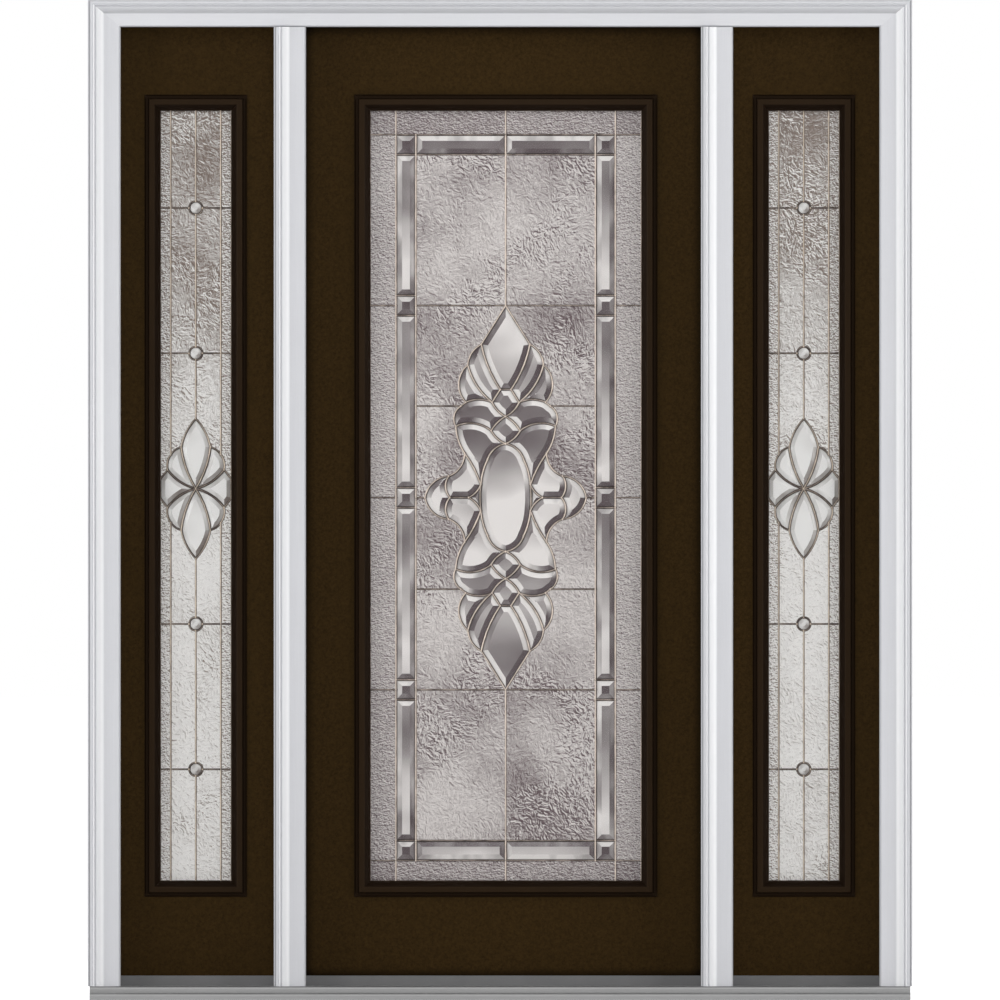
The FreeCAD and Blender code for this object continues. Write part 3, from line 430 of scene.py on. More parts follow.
def paint_material(name, tone, **plain):
    """Brushed or sprayed paint: soft clouds of tone, and a fine grain that catches light."""
    cloud_scale, grain_scale, spread, roughness, relief = PAINTS[name]
    material, tree, shader = new_material(name, Roughness=roughness, **plain)
    mottle = use(tree, mottle_group(), {"Cloud Scale": cloud_scale, "Grain Scale": grain_scale})
    mix = (mottle["Cloud"] * 0.55 + mottle["Grain"] * 0.45).line(2.6, -0.8).clamped()
    shader["Base Color"] = tinted(tone, mix, 1 - spread, 1 + spread)
    shader["Roughness"] = mottle["Grain"].line(0.16, roughness - 0.08)
    shader["Normal"] = bump(mottle["Grain"], 0.25, relief)
    return material


def seam_shaded(paint, name, reach):
    """The same paint, with painted shade from ambient occlusion in the seam where its piece closes against
    another.
    """
    material = paint.copy()
    material.name = name
    shader = shader_of(material)
    near = put(material.node_tree, "ShaderNodeAmbientOcclusion", {"Distance": reach}, samples=4)["AO"]
    seam = near.line(2.4, -1.25).clamped()
    # The dark colour of the painted seam shade
    shader["Base Color"] = blend(seam, (0.001, 0.0006, 0.0004), shader.source("Base Color"))
    return material


def white_material(tone):
    """White paint on wood: fine brush lines along the board, a painted highlight on the cove, and painted
    shade in its quirks.
    """
    material = paint_material("White Paint", tone)
    tree, shader = material.node_tree, shader_of(material)
    light, level = mark(tree, "tone"), mark(tree, "level")
    standing, lying = (noise(coordinates(tree, stretch)) for stretch in
                       ((420.0, 420.0, 9.0), (14.0, 420.0, 420.0)))
    lines = lying * level + standing * level.line(-1.0, 1.0)
    # The marked tone: a painted highlight where it is above 0, painted shade where it is below
    for mask, shade in ((lines.line(0.5, -0.15), shaded(tone, 0.86)), (light * 1.0, (0.96, 0.965, 0.975)),
                        (light * -1.0, shaded(tone, 0.55))):
        shader["Base Color"] = blend(mask.clamped(), shader.source("Base Color"), shade)
    return material


def metal_material(name, tone, roughness, stretch):
    """Metal with fine draw lines along one axis."""
    material, tree, shader = new_material(name, Metallic=1.0)
    lines = noise(coordinates(tree, stretch), 1.0, 3.0, 0.65)
    shader["Base Color"] = tinted(tone, lines, 0.8, 1.2)
    shader["Roughness"] = lines.line(0.2, roughness - 0.1)
    shader["Normal"] = bump(lines, 0.2, 0.0002)
    return material


def wood_material():
    """Plain softwood with long grain, for the core under the tread."""
    material, tree, shader = new_material("Sill Softwood", Roughness=0.7)
    grain = noise(coordinates(tree, (4.0, 160.0, 160.0)), 1.0, 5.0, 0.5, 0.6)
    shader["Base Color"] = tinted((0.5, 0.36, 0.22), grain, 0.6, 1.3)
    shader["Normal"] = bump(grain, 0.3, 0.0004)
    return material


def surround_material(band, groove):
    """Satin brown with painted shade in its groove and down its slope to the glass."""
    material = paint_material("Surround Brown", band, Specular_IOR_Level=0.1,
                              Specular_Tint=(0.8, 0.6, 0.4, 1))
    shader = shader_of(material)
    shader["Base Color"] = blend(mark(material.node_tree, "shade"), shader.source("Base Color"), groove)
    return material


def came_material(name, crown, shading_tone, level_shading):
    """Brass-toned came, bright on an upright bar's crown, with painted brown shade down its flanks, most on
    its right, on its back and where it lies level, under a random mottle of tone.
    """
    material, tree, shader = new_material(name, Metallic=0.6)
    facing = axes(put(tree, "ShaderNodeTexCoord")["Normal"])
    mottle = use(tree, mottle_group(), {"Cloud Scale": 45.0, "Grain Scale": 420.0})
    # Painted shade: on level bars and jewel rings, down the bar's flanks, more on its right and on its back;
    # a random mottle of tone over it
    shading = (mark(tree, "lie") * level_shading).at_most(0.8) + abs(facing[1]).line(-1.0, 1.0) * 1.6
    shading = shading + facing[0].line(3.0, -0.2).clamped() * 0.7 + facing[1].at_least(0.0) * 0.8
    shading = (shading + mottle["Cloud"].line(1.4, -0.7)).clamped()
    shader["Base Color"] = blend(shading, crown, shading_tone)
    shader["Roughness"] = mottle["Grain"].line(0.25, 0.25)
    shader["Normal"] = bump(mottle["Grain"], 0.3, 0.0003)
    return material


# Each cast glass: how strong its broad zones are, how much its painted light falls off upwards, its gain,
# and the values of its relief, whose shading is painted
CAST_GLASSES = {
    "Door Rain Glass": (0.7, 0.0, 0.08, {
        "Scale": 140.0, "Stretch": 0.5, "Turn": 1.0, "Relief": 2.4, "Folds": 0.22, "Zones": 0.14,
        "Bold Scale": 5.0, "Bold": 2.8, "Seed": 3.1}),
    "Door Hammered Glass": (0.3, 0.0, 0.01, {
        "Scale": 300.0, "Stretch": 0.5, "Turn": 0.12, "Relief": 3.2, "Folds": 0.0, "Zones": 0.0,
        "Bold": 0.0, "Seed": 8.4}),
    "Sidelight Rain Glass": (0.35, 0.94, 0.47, {
        "Scale": 140.0, "Stretch": 0.5, "Turn": 1.0, "Relief": 3.0, "Folds": 0.25, "Zones": 0.08,
        "Bold Scale": 4.0, "Bold": 2.4, "Seed": 5.3}),
    "Sidelight Hammered Glass": (0.3, 0.6, 0.36, {
        "Scale": 250.0, "Stretch": 0.55, "Turn": 0.2, "Relief": 7.5, "Folds": 0.0, "Zones": 0.0,
        "Bold": 0.0, "Seed": 1.7}),
}


def textured_glass(name, light, dark):
    """Obscure cast glass, its ripples in painted light and shade as well as in relief, lighter in broad zones
    and, by painted light, lower down.
    """
    zones, fall, gain, relief = CAST_GLASSES[name]
    material, tree, shader = new_material(name, Transmission_Weight=0.06, IOR=1.5)
    ripple = use(tree, ripple_group(), relief)
    spot = coordinates(tree)
    # Painted light that falls off upwards
    rise = axes(spot)[2].line(-fall, fall).at_most(0.0)
    tone = ripple["Tone"] + noise(spot, 4.2, 1.0).line(zones, -zones / 2)
    tone = (tone + (rise + gain) + mark(tree, "pane")).clamped()
    shader["Base Color"] = blend(tone, dark, light)
    shader["Roughness"] = ripple["Height"].line(0.3, 0.12)
    shader["Normal"] = bump(ripple["Height"], 0.6, 0.0016)
    return material


def bevel_material(name, light, dark, depth, flash):
    """Polished bevelled glass in painted light: each table holds its own painted gradient, and its slopes
    take a painted flash of light or shade.
    """
    material, tree, shader = new_material(name, Transmission_Weight=0.04, IOR=1.5, Roughness=0.05)
    facet = use(tree, facet_group(), {"Turn": mark(tree, "lift"), "Flash": flash, "Lift": flash * 0.55})
    rise = put(tree, "ShaderNodeMapRange", {"Value": mark(tree, "share"), "From Min": 0.2, "From Max": 0.85},
               interpolation_type="SMOOTHSTEP")[0]
    low, high = mark(tree, "low"), mark(tree, "high")
    drift = noise(coordinates(tree, (9.0, 9.0, 14.0)), 1.0, 1.0)
    table = low + rise * (high - low)
    mixed = facet["Tone"] * facet["Lean"] + table * facet["Lean"].line(-1.0, 1.0)
    tone = (mixed + drift.line(0.5, -0.25)).clamped() ** depth
    shader["Base Color"] = blend(tone, dark, light)
    return material


def clear_material():
    """Clear float glass that lets the panel behind it show."""
    material, tree, shader = new_material("Clear Glass", Roughness=0.02, IOR=1.5, Alpha=0.015)
    mottle = use(tree, mottle_group(), {"Cloud Scale": 2.0, "Grain Scale": 60.0})
    shader["Base Color"] = tinted((0.4, 0.44, 0.43), mottle["Cloud"], 0.9, 1.1)
    shader["Roughness"] = mottle["Grain"].line(0.02, 0.015)
    return material


# The design of the leaded panels, in millimetres from the design's centre: the lead lines of one
# quarter, straight through two places and an arc through three

DOOR_LINES = {
    "finial_side": [(0, 406), (51.5, 324)],
    "finial_waist": [(51.5, 324), (37, 276), (11.5, 228.5)],
    "throat": [(-11.5, 228.5), (11.5, 228.5)],
    "petal_top": [(51.5, 324), (71, 307), (80, 280.5)],
    "petal_rib": [(80, 280.5), (62, 238), (28.5, 201.5)],
    "collar": [(11.5, 228.5), (28.5, 201.5)],
    "leaf_outside": [(80, 280.5), (99, 245), (84.5, 201.5)],
    "leaf_foot": [(84.5, 201.5), (57, 207.5), (28.5, 201.5)],
    "upper_knot": [(28.5, 201.5), (17, 184), (0, 171.5)],
    "lower_knot": [(0, 171.5), (17, 159), (30.5, 141.5)],
    "jewel_foot": [(30.5, 141.5), (18, 125), (0, 114)],
    "lobe_shoulder": [(84.5, 201.5), (94.5, 193.5)],
    "lobe_outside": [(94.5, 193.5), (109, 173), (105.5, 151)],
    "lobe_seam": [(30.5, 141.5), (67.5, 157), (105.5, 151)],
    "fan_outside": [(105.5, 151), (100, 121), (86.5, 93.5)],
    "fan_foot": [(86.5, 93.5), (67.5, 63), (52.5, 27.5)],
    "oval_crown": [(0, 114), (22.5, 104), (38, 81)],
    "oval_side": [(38, 81), (47.5, 56), (52.5, 27.5)],
    "oval_waist": [(52.5, 27.5), (54, 0), (52.5, -27.5)],
    "drop_top": [(86.5, 93.5), (96.5, 63.5), (120.5, 45.5)],
    "drop_side": [(120.5, 45.5), (127, 23), (118, 0)],
    "drop_seam": [(118, 0), (78, 0)],
    "drop_foot": [(78, 0), (62.5, 11.5), (52.5, 27.5)],
    "wing_top": [(120.5, 45.5), (148, 36), (170.5, 0)],
}

# Each piece: the lines round it in the first quarter, those mirrored across the upright axis,
# those mirrored across the level one, and the quarters it repeats in
DOOR_PIECES = {
    "finial": ("finial_side finial_waist throat", "finial_side finial_waist", "", "ends"),
    "petal": ("finial_waist petal_top petal_rib collar", "", "", "quarters"),
    "leaf": ("petal_rib leaf_outside leaf_foot", "", "", "quarters"),
    "upper_jewel": ("throat collar upper_knot", "collar upper_knot", "", "ends"),
    "lobe": ("leaf_foot lobe_shoulder lobe_outside lobe_seam lower_knot upper_knot", "", "", "quarters"),
    "lower_jewel": ("lower_knot jewel_foot", "lower_knot jewel_foot", "", "ends"),
    "fan": ("jewel_foot lobe_seam fan_outside fan_foot oval_side oval_crown", "", "", "quarters"),
    "drop": ("fan_foot drop_top drop_side drop_seam drop_foot", "", "", "quarters"),
    "wing": ("wing_top drop_side", "", "wing_top drop_side", "sides"),
    "gusset": ("drop_foot oval_waist", "", "drop_foot", "sides"),
}

# The painted light of each piece's table, from 0 to 1, at its lowest and highest point, and which way its
# level slopes take painted light or shade. Pieces under the middle of the design can have their own.
TABLE_PAINTED_LIGHT = {
    "finial": (0.74, 1.0, 1), "petal": (0.66, 0.68, 1), "leaf": (0.66, 0.6, 1), "upper_jewel": (0.45, 0.4, 1),
    "lobe": (0.36, 0.32, 1), "lower_jewel": (0.4, 0.35, 1), "fan": (0.56, 0.3, 1), "drop": (0.98, 0.85, 1),
    "wing": (0.96, 0.9, 1), "gusset": (0.85, 0.85, 1), "oval": (1.35, 0.58, 1), "strip": (0.96, 0.46, 1),
    "rail": (0.4, 0.34, 1), "square": (0.2, 0.16, 1),
    "petals": (1.05, 0.9, 1), "lobes": (1.1, 1.2, 1), "fans": (1.05, 1.2, 1), "jewel": (0.8, 0.8, 1),
}
LOWER_PAINTED_LIGHT = {
    "finial": (0.42, 0.68, 1), "petal": (0.6, 0.6, 1), "lobe": (0.58, 0.48, 1), "fan": (1.0, 0.75, 1),
    "upper_jewel": (0.66, 0.52, 1), "lower_jewel": (0.66, 0.55, 1), "rail": (0.85, 0.75, -1),
}

SIDE_LINES = {
    "petal_top": [(0, 148.3), (19, 122), (31, 88)],
    "petal_foot": [(31, 88), (20, 41), (0, 0)],
    "lobe_shoulder": [(31, 88), (43, 82.5), (52.9, 72)],
    "lobe_outside": [(52.9, 72), (60, 57), (60, 40)],
    "lobe_foot": [(60, 40), (34, 15), (0, 0)],
}

MIRRORS = {
    "quarters": [(1, 1), (-1, 1), (1, -1), (-1, -1)],
    "ends": [(1, 1), (1, -1)],
    "sides": [(1, 1), (-1, 1)],
}

# The turn, in radians, that one chord of a drawn arc takes up
FINE_TURN = 0.09
# Which run of chance gives the panes their own tones
PANE_SEED = 11
# The longest chord, in millimetres, of a lead arc that is part of a jewel's ring
RING_CHORD = 22
# How far the glass stands off the lines, and the outermost lines off the panel's edge
LEAD_GAP, RIM_GAP = 2.0, 3
# Thicknesses of the glass
BEVELLED, TEXTURED = 6.0, 4.0
# Faces of bevelled glass that turn by more degrees than this stay crisp
FACET_ANGLE = 6
# How far each design's centre is above its panel's
DOOR_RISE, SIDE_RISE = -4, 15
# Each tier of a jewel: its share of the radius, how far out it is, and its twist in facets
JEWEL_TIERS = [(1.0, -3.0, 0.0), (1.0, 0.2, 0.0), (0.72, 2.2, 0.5), (0.34, 3.1, 0.0)]
JEWEL_FACETS = 12


def arc(points):
    """Points along a lead line."""
    if len(points) == 2:
        return points
    first, middle, last = points
    a, b = middle - first, last - first
    cross = 2 * (a[0] * b[1] - a[1] * b[0])
    centre = first + np.array((b[1] * (a @ a) - a[1] * (b @ b), a[0] * (b @ b) - b[0] * (a @ a))) / cross
    start, end = (math.atan2(*(p - centre)[::-1]) for p in (first, last))
    turn = (end - start) % (2 * math.pi)
    if cross < 0:
        turn -= 2 * math.pi
    radius, count = np.linalg.norm(first - centre), max(2, math.ceil(abs(turn) / FINE_TURN))
    angles = (start + turn * k / count for k in range(1, count))
    return [first, *(centre + radius * np.array((math.cos(a), math.sin(a))) for a in angles), last]


class Quarter:
    """A design's lead lines, mirrored into one quarter."""

    def __init__(self, design, across=1, up=1):
        self.design, self.across, self.up = design, across, up

    def line(self, places):
        return arc([np.array((self.across * x, self.up * z), float) for x, z in places])

    def lines(self, names):
        return [self.line(self.design[name]) for name in names.split()]

    def path(self, *corners):
        """Straight lead lines from each corner to the next."""
        return [self.line(pair) for pair in zip(corners, corners[1:])]


def joined(lines):
    """The closed outline that lines make, end to end, anticlockwise."""
    left = list(lines)
    loop = list(left.pop(0))
    while left:
        for index, line in enumerate(left):
            if np.linalg.norm(line[0] - loop[-1]) < 0.01:
                loop += line[1:]
                break
            if np.linalg.norm(line[-1] - loop[-1]) < 0.01:
                loop += line[-2::-1]
                break
        else:
            raise RuntimeError(f"a lead outline doesn't close at {loop[-1]}")
        left.pop(index)
    loop = np.array(loop[:-1])
    ahead = np.roll(loop, -1, 0)
    area = (loop[:, 0] * ahead[:, 1] - ahead[:, 0] * loop[:, 1]).sum()
    return loop if area > 0 else loop[::-1]


def stacked(left, right, levels):
    """Box cells one above another."""
    return [np.array([(left, a), (right, a), (right, b), (left, b)], float)
            for a, b in zip(levels, levels[1:])]


def clearance(points, loop):
    """How far each point is from a closed outline."""
    step = np.roll(loop, -1, 0) - loop
    away = points[:, None, :] - loop[None]
    along = np.clip((away * step).sum(2) / (step * step).sum(1), 0, 1)
    return np.linalg.norm(away - along[..., None] * step, axis=2).min(1)


def inside(points, loop):
    """Which of the points lie within a closed outline."""
    end = np.roll(loop, -1, 0)
    x, y = points[:, 0, None], points[:, 1, None]
    spans = (loop[:, 1] > y) != (end[:, 1] > y)
    rise = np.where(end[:, 1] == loop[:, 1], 1.0, end[:, 1] - loop[:, 1])
    edge = loop[:, 0] + (y - loop[:, 1]) * (end[:, 0] - loop[:, 0]) / rise
    return (spans & (x < edge)).sum(1) % 2 == 1


def crossing(point, way, other, other_way):
    cross = way[0] * other_way[1] - way[1] * other_way[0]
    if abs(cross) < 1e-6:
        return (point + other) / 2
    gap = other - point
    return point + way * (gap[0] * other_way[1] - gap[1] * other_way[0]) / cross


def inset(loop, distance):
    """The outline drawn in all round, with what folds over itself cut off at the crossing."""
    count = len(loop)
    ways = np.roll(loop, -1, 0) - loop
    ways /= np.linalg.norm(ways, axis=1)[:, None]
    shifted = loop + distance * np.stack((-ways[:, 1], ways[:, 0]), 1)
    corners = np.array([crossing(shifted[k - 1], ways[k - 1], shifted[k], ways[k]) for k in range(count)])

    def clear(points, share):
        return (clearance(points, loop) > distance * share) & inside(points, loop)

    good = clear(corners, 0.985)
    if good.sum() < 2:
        return None
    first = int(np.argmax(good))
    result, last = [], None
    for step in range(count + 1):
        here = (first + step) % count
        if not good[here]:
            continue
        if last is not None and (last + 1) % count != here:
            tip = crossing(shifted[last], ways[last], shifted[here - 1], ways[here - 1])
            if clear(tip[None], 0.9)[0]:
                result.append(tip)
        if step < count:
            result.append(corners[here])
        last = here
    return np.array(result) if len(result) > 2 else None


def layers(loop, levels):
    """Triangles over an outline with rings at several insets, and how far in each point is."""
    rings = [loop] + [ring for ring in (inset(loop, level) for level in levels) if ring is not None]
    points, edges = [], []
    for ring in rings:
        base, count = len(points), len(ring)
        points += [Vector(p) for p in ring]
        edges += [(base + k, base + (k + 1) % count) for k in range(count)]
    flat, _, faces = delaunay_2d_cdt(points, edges, [], 1, 0.01)[:3]
    flat = np.array([tuple(p) for p in flat])
    return flat, clearance(flat, loop), faces


def stack_pieces(solids):
    """Joins lists of vertices and faces into one."""
    vertices, faces = [], []
    for piece_vertices, piece_faces in solids:
        base = len(vertices)
        vertices += piece_vertices
        faces += [tuple(base + index for index in face) for face in piece_faces]
    return vertices, faces


def table_marks(solids, names, middle):
    """For each vertex: how high it is in its piece, and its piece's own painted light: its table's tones and
    which way its slopes take light.
    """
    marks = {"share": [], "low": [], "high": [], "lift": []}
    for (vertices, _), name in zip(solids, names):
        levels = np.array([v[2] for v in vertices])
        tones = LOWER_PAINTED_LIGHT.get(name, TABLE_PAINTED_LIGHT[name]) if levels.mean() < middle else TABLE_PAINTED_LIGHT[name]
        marks["share"] += list((levels - levels.min()) / (levels.max() - levels.min()))
        for label, value in zip(("low", "high", "lift"), tones):
            marks[label] += [value] * len(levels)
    return marks


class LeadedPanel:
    """Where a panel's design centre is, and how its drawing is turned into glass in place."""

    def __init__(self, label, body, design_rise):
        low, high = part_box(f"{label}_came")
        self.label, self.body = label, body
        self.centre = ((low.x + high.x) / 2, (low.y + high.y) / 2)
        self.level = (low.z + high.z) / 2 + design_rise
        self.edge = (high.x - low.x) / 2 / MM - RIM_GAP
        self.top, self.bottom = (high.z - self.level) / MM - RIM_GAP, (low.z - self.level) / MM + RIM_GAP

    def rim(self):
        """The lead lines all round."""
        edge, bottom, top = self.edge, self.bottom, self.top
        return Quarter({}).path((-edge, bottom), (edge, bottom), (edge, top), (-edge, top), (-edge, bottom))

    def place(self, across, up, out):
        """A drawing's place in the model: out is millimetres towards the outside."""
        return (self.centre[0] + across * MM, self.centre[1] - out * MM, self.level + up * MM)

    def flat_glass(self, cell):
        loop = inset(cell, LEAD_GAP)
        count = len(loop)
        vertices = [self.place(x, z, side * TEXTURED / 2) for side in (1, -1) for x, z in loop]
        faces = [tuple(range(count)), tuple(range(2 * count - 1, count - 1, -1))]
        return vertices, faces + band(0, count, count)

    def bevelled_glass(self, cell, width, drop):
        """A flat back, a square edge, and a slope that mitres at each corner of the piece."""
        loop = inset(cell, LEAD_GAP)
        count = len(loop)
        levels = [width * share for share in (0.2, 0.4, 0.6, 0.8, 1.0)]
        flat, distances, faces = layers(loop, levels)
        front = BEVELLED / 2
        heights = front - drop * (1 - np.clip(distances / width, 0, 1))
        vertices = [self.place(x, z, height) for (x, z), height in zip(flat, heights)]
        base = len(vertices)
        vertices += [self.place(x, z, out) for out in (front - drop, -front) for x, z in loop]
        back = tuple(range(base + count, base + 2 * count))
        return vertices, [*map(tuple, faces), *band(base, base + count, count), back]

    def jewel(self, centre_up, radius):
        """A round jewel cut in tiers of facets up to a small table."""
        turns = 2 * math.pi / JEWEL_FACETS
        vertices = [self.place(share * radius * math.cos(turns * (k + twist)),
                               centre_up + share * radius * math.sin(turns * (k + twist)), out)
                    for share, out, twist in JEWEL_TIERS for k in range(JEWEL_FACETS)]
        faces = []
        for tier, (under, over) in enumerate(zip(JEWEL_TIERS, JEWEL_TIERS[1:])):
            low, high, twist = tier * JEWEL_FACETS, (tier + 1) * JEWEL_FACETS, over[2] - under[2]
            if twist == 0:
                faces += band(low, high, JEWEL_FACETS)
            for k in range(JEWEL_FACETS if twist else 0):
                after = (k + 1) % JEWEL_FACETS
                ahead, back = (k, after) if twist > 0 else (after, k)
                faces += [(low + k, low + after, high + ahead), (high + k, high + after, low + back)]
        ends = (0, len(vertices) - JEWEL_FACETS)
        return vertices, faces + [tuple(range(start, start + JEWEL_FACETS)) for start in ends]

    def make_bevels(self, name, cells, names, material, sizes, width=1.0, jewels=()):
        """Bevelled pieces and jewels, in one mesh for the panel's node."""
        slope, drop = width * sizes.bevel_width / MM, sizes.bevel_drop / MM
        solids = [self.bevelled_glass(cell, slope, drop) for cell in cells]
        solids += [self.jewel(level, sizes.jewel_radius / MM - LEAD_GAP) for level in jewels]
        # Marks that carry each piece's painted light
        marks = table_marks(solids, names + ["jewel"] * len(jewels), self.level)
        piece = mesh_piece(f"{self.label}_{name}_cut", *stack_pieces(solids), material, FACET_ANGLE, **marks)
        settle(piece, self.body, "bevelled_glass", f"{self.label}_{name}")

    def make_panes(self, name, cells, material, slot, lying=0.0):
        """Flat panes of textured glass in one mesh for the panel's node, each pane in its own tone."""
        solids = [self.flat_glass(cell) for cell in cells]
        chance = np.random.RandomState(PANE_SEED)
        tones = []
        for cell, (vertices, _) in zip(cells, solids):
            across, up = np.ptp(np.array(cell), 0)
            tones += [chance.uniform(-0.08, 0.08) + (lying if across > up else -lying / 2)] * len(vertices)
        piece = mesh_piece(f"{self.label}_{name}_sheet", *stack_pieces(solids), material, pane=tones)
        settle(piece, self.body, slot, f"{self.label}_{name}")

    def make_came(self, lines, sizes, material):
        """One piece of came along all of the lead lines, each drawn once."""
        known, vertices, edges, ends, rings = set(), [], [], {}, []
        for line in lines:
            middle = line[len(line) // 2] if len(line) > 2 else (line[0] + line[1]) / 2
            key = (tuple(np.round(middle, 0)), round(float(np.linalg.norm(line[0] - line[-1]))))
            if key in known:
                continue
            known.add(key)
            base = len(vertices)
            vertices += [self.place(x, z, 0) for x, z in line]
            rings += [float(len(line) > 2 and key[1] < RING_CHORD)] * len(line)
            edges += [(base + k, base + k + 1) for k in range(len(line) - 1)]
            for index in (0, len(line) - 1):
                ends.setdefault(tuple(np.round(line[index], 0)), base + index)
        source = bpy.data.meshes.new("lead_lines")
        source.from_pydata(vertices, edges, [])
        source.attributes.new("ring", "FLOAT", "POINT").data.foreach_set("value", rings)
        joints = source.attributes.new("joint", "FLOAT", "POINT")
        for index in ends.values():
            joints.data[index].value = 1.0
        values = {"Width": sizes.came_width, "Depth": sizes.came_depth, "Solder Radius": sizes.solder_radius}
        piece = baked_tree(f"{self.label}_lead_came", source, came_tree(), values, material)
        settle(piece, self.body, "came", f"{self.label}_came")


# Repeated pieces, made by node trees

def joined_geometry(*flows):
    tree = flows[0].tree
    node = tree.nodes.new("GeometryNodeJoinGeometry")
    for flow in flows:
        tree.links.new(flow.socket, node.inputs[0])
    return Wire(node.outputs[0])


def real_mesh(flow, metal):
    """Instances made real, in their material."""
    flow = put(flow.tree, "GeometryNodeRealizeInstances", {"Geometry": flow})[0]
    return put(flow.tree, "GeometryNodeSetMaterial", {"Geometry": flow, "Material": metal})[0]


def combined(x, y, z):
    return put(x.tree, "ShaderNodeCombineXYZ", {0: x, 1: y, 2: z})[0]


@cache
def came_tree():
    """Sweeps a round bar along each lead line, and sets a solder bead on each marked joint."""
    tree, given, out = new_tree(
        "GeometryNodeTree", "Lead Came", {"Lines": "Geometry", "Width": 0.0056, "Depth": 0.007,
                                          "Solder Radius": 0.0036, "Metal": "Material"}, {"Came": "Geometry"})
    ring, joint = (put(tree, "GeometryNodeInputNamedAttribute", {"Name": label}, data_type="FLOAT")[0]
                   for label in ("ring", "joint"))
    curve = put(tree, "GeometryNodeMeshToCurve", {"Mesh": given["Lines"]})["Curve"]
    upright = abs(axes(put(tree, "GeometryNodeInputTangent")[0])[2])
    # How level each bar lies, with jewel rings counted as level: the came material paints shade there
    lie = upright.line(-1.0, 1.0).at_least(ring)
    curve = put(tree, "GeometryNodeStoreNamedAttribute", {"Geometry": curve, "Name": "lie", "Value": lie},
                data_type="FLOAT", domain="POINT")[0]
    circle = put(tree, "GeometryNodeCurvePrimitiveCircle", {"Resolution": 10, "Radius": 0.5})["Curve"]
    size = combined(given["Width"], given["Width"], 1.0)
    profile = put(tree, "GeometryNodeTransform", {"Geometry": circle, "Scale": size})[0]
    bars = put(tree, "GeometryNodeCurveToMesh", {
        "Curve": curve, "Profile Curve": profile, "Fill Caps": True})[0]
    bead = put(tree, "GeometryNodeMeshIcoSphere", {"Radius": 1.0, "Subdivisions": 2})["Mesh"]
    wide = combined(given["Solder Radius"], given["Depth"] * 0.5, given["Solder Radius"])
    beads = put(tree, "GeometryNodeInstanceOnPoints", {
        "Points": given["Lines"], "Selection": joint.maths("GREATER_THAN", 0.5), "Instance": bead,
        "Scale": wide})[0]
    flow = real_mesh(joined_geometry(bars, beads), given["Metal"])
    out["Came"] = put(tree, "GeometryNodeSetShadeSmooth", {"Geometry": flow})[0]
    return tree


def screw_tree():
    """Sets a countersunk cross-slotted screw head on each point, facing along the point's normal."""
    tree, given, out = new_tree(
        "GeometryNodeTree", "Screw Heads", {"Places": "Geometry", "Head Radius": 0.004, "Metal": "Material"},
        {"Screws": "Geometry"})
    head = put(tree, "GeometryNodeMeshCylinder", {"Vertices": 20, "Radius": 1.0, "Depth": 0.16})["Mesh"]
    bar = put(tree, "GeometryNodeMeshCube", {"Size": (1.15, 0.2, 0.3)})["Mesh"]
    turned = put(tree, "GeometryNodeTransform", {"Geometry": bar, "Rotation": (0.0, 0.0, math.pi / 2)})[0]
    slots = put(tree, "GeometryNodeTransform", {
        "Geometry": joined_geometry(bar, turned), "Translation": (0.0, 0.0, 0.12)})[0]
    cut = put(tree, "GeometryNodeMeshBoolean", {"Mesh 1": head, "Mesh 2": slots}, operation="DIFFERENCE")[0]
    facing = put(tree, "FunctionNodeAlignRotationToVector", {
        "Vector": put(tree, "GeometryNodeInputNormal")[0]}, axis="Z")[0]
    points = put(tree, "GeometryNodeMeshToPoints", {"Mesh": given["Places"]}, mode="FACES")[0]
    heads = put(tree, "GeometryNodeInstanceOnPoints", {
        "Points": points, "Instance": cut, "Rotation": facing,
        "Scale": combined(*[given["Head Radius"]] * 3)})[0]
    out["Screws"] = real_mesh(heads, given["Metal"])
    return tree


def baked_tree(name, source, tree, values, metal):
    """Runs a node tree on a mesh and keeps the result as a plain piece."""
    piece = placed(name, source)
    modifier = piece.modifiers.new("shape", "NODES")
    modifier.node_group = tree
    values = {**values, "Metal": metal}
    for item in tree.interface.items_tree:
        if item.in_out == "INPUT" and item.name in values:
            modifier[item.identifier] = values[item.name]
    bpy.context.view_layer.update()
    graph = bpy.context.evaluated_depsgraph_get()
    mesh = bpy.data.meshes.new_from_object(piece.evaluated_get(graph))
    mesh.name = name
    bpy.data.objects.remove(piece)
    if metal.name not in mesh.materials:
        mesh.materials.append(metal)
    return placed(name, mesh)


# Operators, one for each group of pieces

class ENTRANCE_OT_finishes(bpy.types.Operator):
    """Paints the joinery and slabs, and finishes the sill, caps, seals and hinges"""

    bl_idname = "entrance.finishes"
    bl_label = "Paint and metal"

    def execute(self, context):
        colours = context.scene.entrance_colours
        paint = paint_material("Slab Paint", colours.door_paint, Specular_IOR_Level=0.1,
                               Specular_Tint=(0.8, 0.55, 0.3, 1))
        dress("left_jamb right_jamb head_jamb left_mullion right_mullion",
              white_material(colours.white_paint))
        dress("left_sidelight_slab right_sidelight_slab", paint)
        dress("door_slab", seam_shaded(paint, "Door Paint", 0.024))
        dress("sill", metal_material("Sill Aluminium", colours.sill_grey, 0.5, (3.0, 900.0, 900.0)))
        dress("threshold_cap left_sidelight_cap right_sidelight_cap",
              paint_material("Cap Composite", colours.cap_grey))
        dress("sill_core", wood_material())
        dress("weatherstrip door_sweep", paint_material("Seal Rubber", (0.03, 0.03, 0.03)))
        dress("hinge_frame_leaves hinge_pins hinge_door_leaves",
              metal_material("Hinge Steel", (0.52, 0.51, 0.49), 0.34, (900.0, 900.0, 8.0)))
        return {"FINISHED"}


